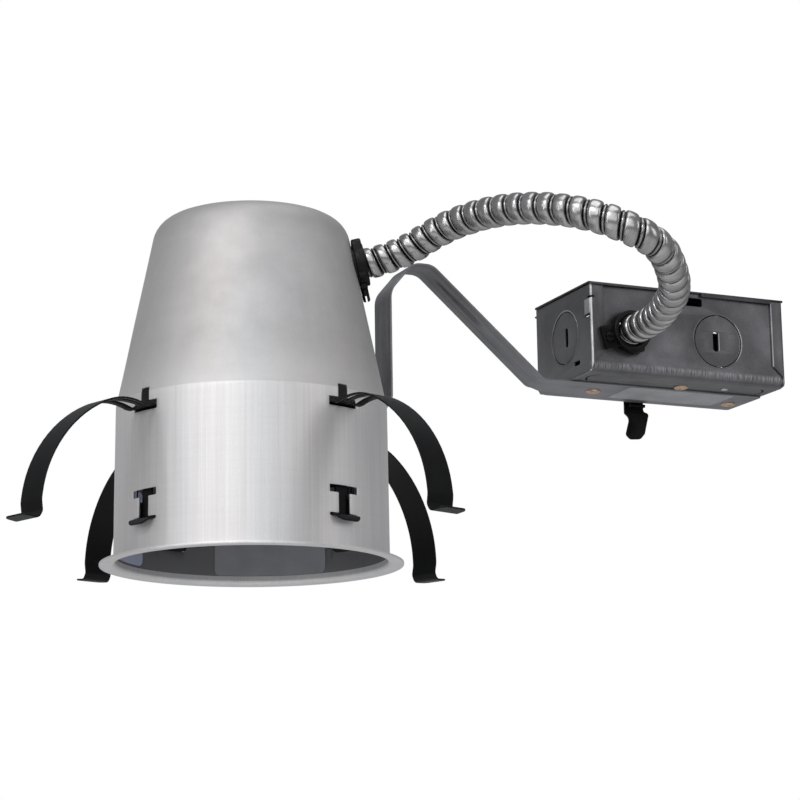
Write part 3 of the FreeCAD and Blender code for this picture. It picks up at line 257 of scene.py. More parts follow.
def box_metal(name, dark, light, lid=False):
    k = Nodes(name)
    x, y, z = k.sep()
    a = k.noise(k.co, 40, 5, 0.62)
    g = k.noise(k.co, 1500, 3, 0.7)
    f = k.math("ADD", k.math("MULTIPLY", a, 0.7), k.math("MULTIPLY", g, 0.3))
    base = k.ramp(f, [(0.36, (dark, dark * 0.985, dark * 1.05)), (0.64, (light, light * 0.985, light * 1.05))])
    if not lid:
        # scuffed streaks and a painted highlight along the line where the front wall starts to bend under
        front = k.math("LESS_THAN", y, -0.0312)
        line = k.math("SUBTRACT", 1.0, k.math("MULTIPLY", k.math("ABSOLUTE", k.math("SUBTRACT", z, 0.1074)), 420), clamp=True)
        scuff_and_bend_highlight = k.noise(k.mapping((1900, 160, 170)), 1.0, 3, 0.7)
        m1 = k.math("MULTIPLY", k.math("MULTIPLY", line, front), k.ramp(scuff_and_bend_highlight, [(0.40, 0.0), (0.62, 1.0)]))
        # painted highlights: bright arcs beside the two round blanks
        def dist(a, ca, b, cb):
            da, db = k.math("SUBTRACT", a, ca), k.math("SUBTRACT", b, cb)
            return k.math("SQRT", k.math("ADD", k.math("MULTIPLY", da, da), k.math("MULTIPLY", db, db)))

        def arc(d, r, w):
            return k.math("SUBTRACT", 1.0, k.math("MULTIPLY", k.math("ABSOLUTE", k.math("SUBTRACT", d, r)), 1.0 / w), clamp=True)
        d1, d2 = dist(x, 0.250, z, 0.1258), dist(y, -0.0045, z, 0.1275)
        side_face = k.math("LESS_THAN", x, 0.1752)
        # painted light: the left end face is lighter, more so low down, and the underside is lighter
        under = k.math("LESS_THAN", z, 0.1046)
        side_painted_light = k.math("MULTIPLY", k.math("SUBTRACT", 0.1380, z), 34, clamp=True)
        base = k.mix(k.math("MULTIPLY", side_face, k.math("ADD", k.math("MULTIPLY", side_painted_light, 0.30), 0.10)), base, 0.36)
        base = k.mix(k.math("MULTIPLY", under, 0.12), base, 0.30)
        ring = k.math("MAXIMUM", k.math("MULTIPLY", arc(d1, 0.0142, 0.00040), front), k.math("MULTIPLY", arc(d2, 0.0141, 0.00040), side_face))
        base = k.mix(k.math("MULTIPLY", ring, 0.8), base, 0.02)
        a1 = k.math("MAXIMUM", arc(d1, 0.01475, 0.00035), arc(d1, 0.01375, 0.00035))
        a1 = k.math("MULTIPLY", k.math("MULTIPLY", a1, front), k.math("MULTIPLY", k.math("SUBTRACT", x, 0.2600), 300, clamp=True))
        a2 = k.math("MAXIMUM", arc(d2, 0.01475, 0.00035), arc(d2, 0.0137, 0.00035))
        a2 = k.math("MULTIPLY", k.math("MULTIPLY", a2, side_face), k.math("MULTIPLY", k.math("SUBTRACT", y, 0.0060), 300, clamp=True))
        # painted highlight beside the pry slot, and the corner tab painted lighter
        pry = k.math("SUBTRACT", 1.0, k.math("MULTIPLY", k.math("ABSOLUTE", k.math("SUBTRACT", x, 0.25078)), 2600), clamp=True)
        pry = k.math("MULTIPLY", k.math("MULTIPLY", pry, front), k.math("LESS_THAN", k.math("ABSOLUTE", k.math("SUBTRACT", z, 0.1255)), 0.0048))
        tab = k.math("MULTIPLY", k.math("LESS_THAN", x, 0.17385), k.math("LESS_THAN", k.math("ABSOLUTE", k.math("SUBTRACT", z, 0.1389)), 0.0052))
        base = k.mix(k.math("MULTIPLY", tab, 0.55), base, 0.62)
        # painted highlight: a small bright glint at the foot of the front left corner
        dot = k.math("MULTIPLY", k.math("LESS_THAN", dist(x, 0.17357, z, 0.10421), 0.0009), front)
        base = k.mix(k.math("MULTIPLY", dot, 0.9), base, 0.92)
        # painted highlights along the folds at the two front corners
        left = k.math("LESS_THAN", x, 0.17485)
        near = k.math("LESS_THAN", y, -0.03285)
        m2 = k.math("MULTIPLY", left, near)
        xr = k.math("SUBTRACT", 1.0, k.math("MULTIPLY", k.math("ABSOLUTE", k.math("SUBTRACT", x, 0.28330)), 1900), clamp=True)
        m3 = k.math("MULTIPLY", xr, k.math("LESS_THAN", y, -0.0331))
        patchy = k.noise(k.mapping((600, 600, 90)), 1.0, 3, 0.6)
        m23 = k.math("MULTIPLY", k.math("MAXIMUM", m2, m3), k.ramp(patchy, [(0.3, 0.45), (0.6, 1.0)]))
        # one light colour lays on the scuff streaks and all the painted highlights above
        mask = k.math("MAXIMUM", k.math("MAXIMUM", k.math("MULTIPLY", m1, 0.5), m23), k.math("MULTIPLY", k.math("MAXIMUM", k.math("MAXIMUM", a1, a2), pry), 0.8))
        base = k.mix(mask, base, (0.62, 0.62, 0.64))
    k.put("Base Color", base)
    k.put("Metallic", 0.85)
    k.put("Roughness", k.ramp(f, [(0.35, 0.50), (0.65, 0.40)]))
    k.bump(f, 0.08, 0.0005)
    return k.mat


def conduit_metal():
    k = Nodes("conduit_aluminium")
    a = k.t.nodes.new("ShaderNodeAttribute")
    a.attribute_name = "crest"
    lay = k.t.nodes.new("ShaderNodeAttribute")
    lay.attribute_name = "lay"
    # drawing marks run round the strip, broad stains across it
    n = k.noise(k.mapping((2.6, 1.3, 1.3), src=lay.outputs["Vector"]), 1.0, 3, 0.55)
    s = k.noise(k.mapping((0.22, 0.8, 0.8), src=lay.outputs["Vector"]), 1.0, 2, 0.5)
    f = k.math("ADD", k.math("MULTIPLY", n, 0.5), k.math("MULTIPLY", s, 0.5))
    top = k.ramp(f, [(0.34, (0.27, 0.262, 0.26)), (0.5, (0.37, 0.362, 0.36)), (0.66, (0.50, 0.49, 0.485))])
    # painted shade: the grooves between the turns are darkened by the crest height
    groove_painted_shade = k.ramp(a.outputs["Fac"], [(0.0, 0.10), (0.35, 0.42), (0.75, 1.0)])
    k.put("Base Color", k.mix(1.0, top, groove_painted_shade, "MULTIPLY"))
    k.put("Metallic", 1.0)
    k.put("Roughness", k.ramp(f, [(0.35, 0.31), (0.65, 0.20)]))
    k.bump(n, 0.03, 0.0003)
    return k.mat


def black_coat(name, base=0.012, rough=0.34, patchy=0.05, spec=0.5, metallic=0.0, bump=0.1):
    k = Nodes(name)
    n = k.noise(k.co, 900, 4, 0.6)
    w = k.noise(k.co, 120, 5, 0.7)
    k.put("Base Color", k.ramp(w, [(0.45, (base, base, base * 1.05)), (0.75, (base + patchy, base + patchy, base + patchy * 1.05))]))
    k.put("Roughness", k.ramp(n, [(0.3, rough + 0.08), (0.7, rough - 0.05)]))
    k.put("Specular IOR Level", spec)
    k.put("Metallic", metallic)
    k.bump(n, bump, 0.0003)
    return k.mat


def copper():
    k = Nodes("copper_wash")
    n = k.noise(k.co, 500, 4, 0.6)
    k.put("Base Color", k.ramp(n, [(0.35, (0.33, 0.21, 0.13)), (0.5, (0.56, 0.40, 0.28)), (0.68, (0.72, 0.55, 0.42))]))
    k.put("Metallic", 0.9)
    k.put("Roughness", k.ramp(n, [(0.3, 0.5), (0.7, 0.34)]))
    k.bump(n, 0.15, 0.0004)
    return k.mat


def porcelain():
    k = Nodes("glazed_body")
    n = k.noise(k.co, 300, 3, 0.5)
    k.put("Base Color", k.ramp(n, [(0.3, (0.78, 0.77, 0.73)), (0.7, (0.86, 0.85, 0.82))]))
    k.put("Roughness", k.ramp(n, [(0.3, 0.22), (0.7, 0.16)]))
    k.bump(n, 0.04, 0.0004)
    return k.mat


def brass():
    k = Nodes("plain_brass")
    n = k.noise(k.mapping((300, 300, 900)), 1.0, 4, 0.6)
    k.put("Base Color", k.ramp(n, [(0.3, (0.60, 0.45, 0.20)), (0.7, (0.78, 0.62, 0.32))]))
    k.put("Metallic", 1.0)
    k.put("Roughness", k.ramp(n, [(0.3, 0.38), (0.7, 0.26)]))
    k.bump(n, 0.08, 0.0003)
    return k.mat


def label_paper(name, a, b):
    k = Nodes(name)
    n = k.noise(k.co, 90, 5, 0.6)
    g = k.noise(k.co, 2600, 2, 0.6)
    k.put("Base Color", k.mix(0.15, k.ramp(n, [(0.3, a), (0.7, b)]), g, "MULTIPLY"))
    k.put("Roughness", 0.55)
    k.bump(g, 0.05, 0.0002)
    return k.mat


M = {
    "can_metal": can_metal(),
    "strap_steel": strap_metal(),
    "box_steel": box_metal("box_galvanised", 0.088, 0.140),
    "lid_steel": box_metal("lid_galvanised", 0.050, 0.085, True),
    "zinc": steel("zinc_plate", 0.48, 0.66, 1.0, (0.26, 0.4), (200, 200, 200)),
    "lamp_steel": steel("bracket_galvanised", 0.42, 0.58, 1.0, (0.3, 0.45), (90, 90, 300)),
    "conduit_metal": conduit_metal(),
    "black_spring": black_coat("blued_spring", 0.0020, 0.38, 0.002, 0.15),
    "black_fitting": black_coat("cast_black", 0.0022, 0.40, 0.005, 0.17, 0.0, 0.2),
    "black_plastic": black_coat("moulded_black", 0.02, 0.5, 0.01, 0.4),
    "copper": copper(),
    "porcelain": porcelain(),
    "brass": brass(),
    "label": label_paper("label_blank", (0.27, 0.27, 0.28), (0.36, 0.36, 0.375)),
    "label_in": label_paper("label_inside", (0.27, 0.27, 0.295), (0.33, 0.33, 0.355)),
    "label_blue": label_paper("label_inside_pale", (0.42, 0.45, 0.60), (0.50, 0.53, 0.68)),
}


# ------------------------------------------------------------------ mesh tools (mm)
def make(name, bm, mat, body, replaces=(), angle=32, recalc=True):
    if recalc:
        bmesh.ops.recalc_face_normals(bm, faces=bm.faces)
    bmesh.ops.scale(bm, vec=(S, S, S), verts=bm.verts)
    me = bpy.data.meshes.new(name)
    bm.to_mesh(me)
    bm.free()
    for p in me.polygons:
        p.use_smooth = True
    me.set_sharp_from_angle(angle=math.radians(angle))
    me.materials.append(M[mat])
    o = bpy.data.objects.new(name, me)
    scene.collection.objects.link(o)
    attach(o, body)
    if replaces:
        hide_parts(*replaces)
    return o


def rounded(points, radii, n=5):
    """Closed outline with its corners rounded."""
    out = []
    k = len(points)
    for i in range(k):
        r = radii[i] if isinstance(radii, (list, tuple)) else radii
        p, q, s = Vector(points[i - 1]), Vector(points[i]), Vector(points[(i + 1) % k])
        if r <= 0:
            out.append((q.x, q.y))
            continue
        u, w = (p - q).normalized(), (s - q).normalized()
        ang = u.angle(w)
        d = min(r / math.tan(ang / 2), (p - q).length * 0.49, (s - q).length * 0.49)
        r = d * math.tan(ang / 2)
        bis = (u + w).normalized()
        c = q + bis * (r / math.sin(ang / 2))
        a0 = math.atan2(*(q + u * d - c).yx)
        a1 = math.atan2(*(q + w * d - c).yx)
        while a1 - a0 > pi:
            a1 -= 2 * pi
        while a1 - a0 < -pi:
            a1 += 2 * pi
        for j in range(n + 1):
            a = a0 + (a1 - a0) * j / n
            out.append((c.x + r * math.cos(a), c.y + r * math.sin(a)))
    return out


def rect(x0, x1, y0, y1, r=0.0, n=5):
    pts = [(x0, y0), (x1, y0), (x1, y1), (x0, y1)]
    return rounded(pts, r, n) if r > 0 else pts


def circle(cx, cy, r, n=48):
    return [(cx + r * math.cos(2 * pi * i / n), cy + r * math.sin(2 * pi * i / n)) for i in range(n)]


def arc_slot(cx, cy, r0, r1, a0, a1, n=24):
    pts = [(cx + r1 * math.cos(a0 + (a1 - a0) * i / n), cy + r1 * math.sin(a0 + (a1 - a0) * i / n)) for i in range(n + 1)]
    pts += [(cx + r0 * math.cos(a1 + (a0 - a1) * i / n), cy + r0 * math.sin(a1 + (a0 - a1) * i / n)) for i in range(n + 1)]
    return pts


def flat(outline, holes=(), t=1.0, bev=0.12, res=1):
    """Plate in the XY plane, centred on z = 0, edges slightly rounded."""
    cu = bpy.data.curves.new("plate", "CURVE")
    cu.dimensions = "2D"
    cu.fill_mode = "BOTH"
    cu.extrude = t / 2 - bev
    cu.bevel_depth = bev
    cu.bevel_resolution = res
    cu.offset = -bev
    for loop in [outline] + list(holes):
        sp = cu.splines.new("POLY")
        sp.points.add(len(loop) - 1)
        for i, (x, y) in enumerate(loop):
            sp.points[i].co = (x, y, 0, 1)
        sp.use_cyclic_u = True
    ob = bpy.data.objects.new("plate", cu)
    scene.collection.objects.link(ob)
    dg = bpy.context.evaluated_depsgraph_get()
    me = bpy.data.meshes.new_from_object(ob.evaluated_get(dg))
    bpy.data.objects.remove(ob)
    bpy.data.curves.remove(cu)
    bm = bmesh.new()
    bm.from_mesh(me)
    bpy.data.meshes.remove(me)
    bmesh.ops.remove_doubles(bm, verts=bm.verts, dist=0.0005)
    return bm


def slice_at(bm, axis, values, clear=0):
    no = Vector((1, 0, 0)) if axis == 0 else Vector((0, 1, 0))
    for v in values:
        bmesh.ops.bisect_plane(bm, geom=list(bm.verts) + list(bm.edges) + list(bm.faces), dist=0.0004,
                               plane_co=no * v, plane_no=no, clear_outer=clear > 0, clear_inner=clear < 0)


def warp(bm, fn):
    for v in bm.verts:
        v.co = fn(v.co)


def bent(points, radii):
    out = []
    cur = points[0]
    for k in range(1, len(points) - 1):
        p, q, s = points[k - 1], points[k], points[k + 1]
        r = radii[k - 1]
        u = (q[0] - p[0], q[1] - p[1])
        w = (s[0] - q[0], s[1] - q[1])
        lu, lw = math.hypot(*u), math.hypot(*w)
        u = (u[0] / lu, u[1] / lu)
        w = (w[0] / lw, w[1] / lw)
        turn = math.atan2(u[0] * w[1] - u[1] * w[0], u[0] * w[0] + u[1] * w[1])
        tl = r * math.tan(abs(turn) / 2)
        a = (q[0] - u[0] * tl, q[1] - u[1] * tl)
        b = (q[0] + w[0] * tl, q[1] + w[1] * tl)
        out.append(("L", cur, a))
        side = 1 if turn > 0 else -1
        c = (a[0] - u[1] * r * side, a[1] + u[0] * r * side)
        a0 = math.atan2(a[1] - c[1], a[0] - c[0])
        out.append(("A", c, r, a0, a0 + turn))
        cur = b
    out.append(("L", cur, points[-1]))
    return out


def arc_to(c, p, q):
    r = math.hypot(p[0] - c[0], p[1] - c[1])
    a0 = math.atan2(p[1] - c[1], p[0] - c[0])
    a1 = math.atan2(q[1] - c[1], q[0] - c[0])
    while a1 > a0:
        a1 -= 2 * pi
    return ("A", c, r, a0, a1)


class Path:
    """Centreline of a folded sheet: lines and arcs in a plane."""
    def __init__(self, prims):
        self.p = [q for q in prims if q[0] == "A" or math.hypot(q[2][0] - q[1][0], q[2][1] - q[1][1]) > 1e-6]
        self.s = [0.0]
        for q in self.p:
            if q[0] == "L":
                n = math.hypot(q[2][0] - q[1][0], q[2][1] - q[1][1])
            else:
                n = q[2] * abs(q[4] - q[3])
            self.s.append(self.s[-1] + n)
        self.length = self.s[-1]

    def at(self, s, w=0.0):
        i = 0
        while i < len(self.p) - 1 and s > self.s[i + 1]:
            i += 1
        q = self.p[i]
        d = s - self.s[i]
        if q[0] == "L":
            L = self.s[i + 1] - self.s[i]
            tx, ty = (q[2][0] - q[1][0]) / L, (q[2][1] - q[1][1]) / L
            x, y = q[1][0] + tx * d, q[1][1] + ty * d
        else:
            sg = 1 if q[4] > q[3] else -1
            a = q[3] + sg * d / q[2]
            x, y = q[1][0] + q[2] * math.cos(a), q[1][1] + q[2] * math.sin(a)
            tx, ty = -math.sin(a) * sg, math.cos(a) * sg
        return x - ty * w, y + tx * w

    def cuts(self, deg=7.0, line=None):
        out = []
        for i, q in enumerate(self.p):
            a, b = self.s[i], self.s[i + 1]
            if i:
                out.append(a)
            if q[0] == "A":
                n = max(2, int(math.ceil(abs(math.degrees(q[4] - q[3])) / deg)))
            elif line:
                n = max(1, int((b - a) / line))
            else:
                n = 1
            out += [a + (b - a) * j / n for j in range(1, n)]
        return out

    def find(self, axis, value, lo=0.0, hi=None):
        """First length in lo..hi where that coordinate crosses value."""
        hi = self.length if hi is None else hi
        n = 4000
        prev = self.at(lo)[axis] - value
        for i in range(1, n + 1):
            s = lo + (hi - lo) * i / n
            v = self.at(s)[axis] - value
            if prev * v <= 0:
                return s
            prev = v
        return hi


def join(bms):
    out = bmesh.new()
    for b in bms:
        me = bpy.data.meshes.new("j")
        b.to_mesh(me)
        b.free()
        out.from_mesh(me)
        bpy.data.meshes.remove(me)
    return out


def lathe(profile, n=64, closed=False):
    """Revolved outline (r, z) about Z."""
    bm = bmesh.new()
    rings = []
    for r, z in profile:
        if r < 1e-6:
            rings.append([bm.verts.new((0, 0, z))])
        else:
            rings.append([bm.verts.new((r * math.cos(2 * pi * i / n), r * math.sin(2 * pi * i / n), z)) for i in range(n)])
    pairs = list(zip(rings, rings[1:])) + ([(rings[-1], rings[0])] if closed else [])
    for a, b in pairs:
        for i in range(n):
            j = (i + 1) % n
            if len(a) == 1 and len(b) == 1:
                continue
            if len(a) == 1:
                bm.faces.new((a[0], b[i], b[j]))
            elif len(b) == 1:
                bm.faces.new((a[i], a[j], b[0]))
            else:
                bm.faces.new((a[i], a[j], b[j], b[i]))
    return bm


def fillet_profile(points, radii, n=4, closed=False):
    """Open or closed outline with rounded corners, as (r, z) points."""
    if closed:
        return rounded(points, radii, n)
    out = [tuple(points[0])]
    k = len(points)
    full = rounded(points, [0] + list(radii if isinstance(radii, (list, tuple)) else [radii] * (k - 2)) + [0], n)
    return full


def tube_piece(r_in, r_out, z0, z1, edge=0.3, n=64):
    return lathe(rounded([(r_in, z0), (r_out, z0), (r_out, z1), (r_in, z1)], edge, 3), n, closed=True)


def aim(bm, at, direction, up=None):
    """Moves a piece built about Z to a place, Z along direction."""
    z = Vector(direction).normalized()
    if up is None:
        up = Vector((0, 0, 1)) if abs(z.z) < 0.9 else Vector((0, 1, 0))
    y = (Vector(up) - z * z.dot(Vector(up))).normalized()
    x = y.cross(z)
    mt = Matrix((x, y, z)).transposed().to_4x4()
    mt.translation = Vector(at)
    bmesh.ops.transform(bm, matrix=mt, verts=bm.verts)
    return bm


def block(x0, x1, y0, y1, z0, z1, r=0.3, seg=2):
    bm = bmesh.new()
    bmesh.ops.create_cube(bm, size=1.0)
    for v in bm.verts:
        v.co = Vector((x0 if v.co.x < 0 else x1, y0 if v.co.y < 0 else y1, z0 if v.co.z < 0 else z1))
    if r > 0:
        bmesh.ops.bevel(bm, geom=list(bm.edges), offset=r, segments=seg, profile=0.5, affect="EDGES")
    return bm


# ------------------------------------------------------------------ cord first: the flexible conduit
az = math.radians(-24.0)
slope = (66.94 - 49.23) / (163.29 - 77.2)
tilt = math.atan(slope)
NF = Vector((math.cos(az) * math.cos(tilt), math.sin(az) * math.cos(tilt), math.sin(tilt)))
rf = 66.94 - slope * (150.0 - 77.2)
PF = Vector((rf * math.cos(az), rf * math.sin(az), 150.0))
route = [Vector((196.0, -36.0, 126.0)), Vector((196.0, -60.0, 126.0)), Vector((188.3, -85.4, 126.0)),
         Vector((181.76, -106.95, 129.3)), Vector((169.9, -124.4, 133.7)), Vector((155.9, -138.9, 140.4)),
         Vector((138.5, -140.8, 147.2)), Vector((119.8, -125.1, 158.0)), Vector((101.3, -90.3, 167.8)),
         Vector((85.5, -51.7, 168.1)), PF + NF * 22.0, PF + NF * 4.0]
cu = bpy.data.curves.new("conduit_line", "CURVE")
cu.dimensions = "3D"
sp = cu.splines.new("NURBS")
sp.points.add(len(route) - 1)
for i, p in enumerate(route):
    sp.points[i].co = (p.x * S, p.y * S, p.z * S, 1)
sp.order_u = 3
sp.use_endpoint_u = True
sp.resolution_u = 40
line_ob = bpy.data.objects.new("conduit_line", cu)
scene.collection.objects.link(line_ob)
dg = bpy.context.evaluated_depsgraph_get()
me = bpy.data.meshes.new_from_object(line_ob.evaluated_get(dg))
line_pts = [v.co.copy() / S for v in me.vertices]
bpy.data.meshes.remove(me)
bpy.data.objects.remove(line_ob)


class Rail:
    """Evenly measured points and turning-free frames along a line."""
    def __init__(self, pts, step):
        self.pts = [pts[0]]
        acc = [0.0]
        for a, b in zip(pts, pts[1:]):
            acc.append(acc[-1] + (b - a).length)
        self.length = acc[-1]
        n = int(round(self.length / step))
        self.s = [self.length * i / n for i in range(n + 1)]
        out = []
        k = 0
        for s in self.s:
            while k < len(acc) - 2 and acc[k + 1] < s:
                k += 1
            f = (s - acc[k]) / max(1e-9, acc[k + 1] - acc[k])
            out.append(pts[k].lerp(pts[k + 1], min(1, max(0, f))))
        self.p = out
        self.t = []
        for i in range(len(out)):
            a, b = out[max(0, i - 1)], out[min(len(out) - 1, i + 1)]
            self.t.append((b - a).normalized())
        u = Vector((0, 0, 1))
        self.u = []
        for t in self.t:
            u = (u - t * u.dot(t)).normalized()
            self.u.append(u.copy())


rail = Rail(line_pts, 0.5)


def rail_at(s):
    f = max(0.0, min(0.999999, s / rail.length)) * (len(rail.s) - 1)
    i = min(len(rail.s) - 2, int(f))
    f -= i
    p = rail.p[i].lerp(rail.p[i + 1], f)
    t = rail.t[i].lerp(rail.t[i + 1], f).normalized()
    u = rail.u[i].lerp(rail.u[i + 1], f)
    u = (u - t * u.dot(t)).normalized()
    return p, t, u


DEEP, ROUT = 1.9, 8.0
# The turns lie wider apart where the conduit is stretched round its bends
wide = [(0.0, 9.2), (0.2, 9.2), (0.34, 8.3), (0.48, 8.5), (0.60, 9.1), (0.76, 8.9), (0.87, 7.8), (1.0, 7.2)]


def pitch_at(s):
    f = min(1.0, max(0.0, s / rail.length))
    for (a, pa), (b, pb) in zip(wide, wide[1:]):
        if f <= b:
            return pa + (pb - pa) * (f - a) / (b - a)
    return wide[-1][1]


starts = [0.0]
while starts[-1] < rail.length + 12.0:
    starts.append(starts[-1] + pitch_at(starts[-1]))
TURNS = len(starts) - 3


def seam_s(t):
    if t < 0:
        return t * starts[1]
    i = min(len(starts) - 2, int(t))
    return starts[i] + (starts[i + 1] - starts[i]) * (t - i)


ring_n = 56
# One turn of the wound strip: broad rounded crest, groove, low ridge, groove
shape = [(0.0, 0.0), (0.010, 0.24), (0.028, 0.46), (0.055, 0.66), (0.095, 0.81), (0.16, 0.92), (0.25, 0.98), (0.36, 1.0), (0.47, 0.99),
         (0.57, 0.95), (0.64, 0.87), (0.69, 0.74), (0.72, 0.54), (0.738, 0.30), (0.748, 0.08), (0.768, 0.08), (0.782, 0.34), (0.81, 0.50),
         (0.855, 0.57), (0.90, 0.50), (0.935, 0.32), (0.962, 0.10)]
NP = len(shape)
bm = bmesh.new()
layer = bm.verts.layers.float.new("crest")
lay = bm.verts.layers.float_vector.new("lay")
grid = {}
for k in range(-1, TURNS + 2):
    for q, (ph, h) in enumerate(shape):
        for i in range(ring_n):
            a = 2 * pi * i / ring_n
            s0 = seam_s(k + ph + i / ring_n)
            inside = 0.0 <= s0 <= rail.length
            p, t, u = rail_at(s0)
            w = t.cross(u)
            n1 = noise.noise(Vector((s0 * 0.13, math.cos(a) * 1.2, math.sin(a) * 1.2))) * 0.12
            r = ROUT - DEEP + DEEP * h + (n1 if h > 0.2 else 0.0) - 0.04 if inside else ROUT - DEEP
            v = bm.verts.new(p + (u * math.cos(a) + w * math.sin(a)) * r)
            v[layer] = h if inside else 0.0
            v[lay] = Vector((s0, math.cos(a), math.sin(a)))
            grid[k, q, i] = v


def cell(k, q, i):
    if q == NP:
        k, q = k + 1, 0
    if i == ring_n:
        k, i = k + 1, 0
    return grid.get((k, q, i))


for k in range(-1, TURNS + 2):
    for q in range(NP):
        for i in range(ring_n):
            f = [cell(k, q, i), cell(k, q, i + 1), cell(k, q + 1, i + 1), cell(k, q + 1, i)]
            if None not in f:
                bm.faces.new(f)
bmesh.ops.remove_doubles(bm, verts=bm.verts, dist=0.02)
for s0 in (0.0, rail.length):
    p, t, u = rail_at(s0)
    w = t.cross(u)
    outer = [bm.verts.new(p + (u * math.cos(2 * pi * i / ring_n) + w * math.sin(2 * pi * i / ring_n)) * (ROUT - DEEP)) for i in range(ring_n)]
    inner = [bm.verts.new(p + (u * math.cos(2 * pi * i / ring_n) + w * math.sin(2 * pi * i / ring_n)) * 5.4 + t * (3.0 if s0 == 0 else -3.0)) for i in range(ring_n)]
    for i in range(ring_n):
        j = (i + 1) % ring_n
        bm.faces.new((outer[i], outer[j], inner[j], inner[i]))
    bm.faces.new(inner)
bmesh.ops.remove_doubles(bm, verts=bm.verts, dist=0.02)
conduit = make("conduit_ribbed", bm, "conduit_metal", "housing", ["conduit"], angle=70)
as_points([tuple(p * S) for p in rail.p[::5]] + [tuple(rail.p[-1] * S)])


# ------------------------------------------------------------------ the can
def profile_arc(cx, cy, r, a0, a1):
    return ("A", (cx, cy), r, math.radians(a0), math.radians(a1))


T = 1.0
# Wall centreline from the flange's outer edge to the middle of the crown
can_path = Path([
    ("L", (74.4, -0.5), (69.0, -0.5)),
    profile_arc(69.0, 1.5, 2.0, -90.0, -180.42),
    ("L", (67.0, 1.5), (66.44, 77.2)),
    ("L", (66.44, 77.2), (48.74, 163.2)),
    profile_arc(36.4, 160.65, 12.6, 11.62, 90.0),
    ("L", (36.4, 173.25), (1.2, 173.25)),
])
REF = 67.0
HALF = REF * pi
s_mid = can_path.s[2]


def height_s(z):
    return can_path.find(1, z, can_path.s[2], can_path.s[4])


holes = []
SEAM = math.radians(-115.0)


def u_of(azimuth_deg):
    a = math.radians(azimuth_deg) - SEAM
    while a > pi:
        a -= 2 * pi
    while a < -pi:
        a += 2 * pi
    return a * REF


for azd in (-70.0, 24.0, 108.5, 200.0):
    c = u_of(azd)
    z = height_s
    up_pts = [(-8.6, z(67.9)), (8.6, z(67.9)), (8.6, z(72.4)), (3.1, z(72.4)), (3.1, z(79.0)), (-3.1, z(79.0)), (-3.1, z(72.4)), (-8.6, z(72.4))]
    holes.append(rounded([(c + a, b) for a, b in up_pts], [0.4] * 4 + [0.5, 0.5] + [0.4] * 2, 3))
    lo_pts = [(-8.8, z(14.9)), (8.8, z(14.9)), (8.8, z(16.4)), (3.6, z(16.4)), (3.6, z(26.2)), (8.8, z(26.2)), (8.8, z(29.9)), (-8.8, z(29.9)),
              (-8.8, z(26.2)), (-3.6, z(26.2)), (-3.6, z(16.4)), (-8.8, z(16.4))]
    holes.append(rounded([(c + a, b) for a, b in lo_pts], 0.5, 3))
bm = flat([(-HALF - 4, 0), (HALF + 4, 0), (HALF + 4, can_path.length), (-HALF - 4, can_path.length)], holes, T, 0.14, 1)
slice_at(bm, 0, [-HALF], -1)
slice_at(bm, 0, [HALF], 1)
NU = 180
slice_at(bm, 1, can_path.cuts(9.0, 7.0))
slice_at(bm, 0, [-HALF + 2 * HALF * i / NU for i in range(1, NU)])


def can_map(co):
    r, z = can_path.at(co.y, -co.z)
    a = co.x / REF + SEAM
    # slight flatness error of the drawn wall
    d = 0.0
    if z > 3:
        d = 0.10 * noise.noise(Vector((math.cos(a) * 2.3, math.sin(a) * 2.3, z * 0.035)))
        d += 0.05 * noise.noise(Vector((math.cos(a) * 7.0, math.sin(a) * 7.0, z * 0.02 + 9)))
    r = r + d * min(1.0, (z - 3) / 6.0 if z > 3 else 0) * min(1.0, r / 30.0)
    return Vector((r * math.cos(a), r * math.sin(a), z))


warp(bm, can_map)
bmesh.ops.remove_doubles(bm, verts=bm.verts, dist=0.004)
crown = lathe([(0, 173.75), (1.3, 173.75), (1.3, 172.75), (0, 172.75)], 48)
bm = join([bm, crown])
make("can_shell", bm, "can_metal", "housing", ["housing_can"], angle=38)

# ------------------------------------------------------------------ spring clips
clip_prims = bent([(71.7, 12.5), (69.0, 15.4), (64.7, 15.4), (64.7, 68.66), (67.2, 69.44)], [2.2, 1.4, 2.2])
clip_prims.append(arc_to((78.81, 32.09), (67.2, 69.44), (95.86, 67.29)))
clip_prims.append(arc_to((67.93, 9.59), (95.86, 67.29), (126.23, 36.23)))
clip_prims.append(arc_to((74.1, 12.41), (126.23, 36.23), (130.93, 19.84)))
clip_prims += bent([(130.93, 19.84), (131.3, 16.99), (130.6, 11.8), (132.6, 8.5), (140.7, 9.5)], [9.0, 3.2, 2.6])
clip_path = Path(clip_prims)
L = clip_path.length
leg_lo = clip_path.s[4]
s_neck0 = clip_path.find(1, 16.6, leg_lo, leg_lo + 30)
s_neck1 = clip_path.find(1, 24.0, leg_lo, leg_lo + 30)
s_slot0 = clip_path.find(0, 69.6, clip_path.s[6], L)
s_slot1 = clip_path.find(0, 92.0, clip_path.s[6], L)
HW = 8.0
NK = 3.45
out = [(0, -HW), (s_neck0, -HW), (s_neck0, -NK), (s_neck1, -NK), (s_neck1, -HW), (L, -HW),
       (L, HW), (s_neck1, HW), (s_neck1, NK), (s_neck0, NK), (s_neck0, HW), (0, HW)]
rad = [5.0, 0.6, 0.4, 0.4, 0.6, 3.0, 3.0, 0.6, 0.4, 0.4, 0.6, 5.0]
clip_outline = rounded(out, rad, 6)
CLIPS = [("clip_front_right", -70.0, 0.0), ("clip_rear_right", 24.0, 4.0),
         ("clip_rear_left", 108.5, 1.5), ("clip_front_left", 200.0, 0.0)]
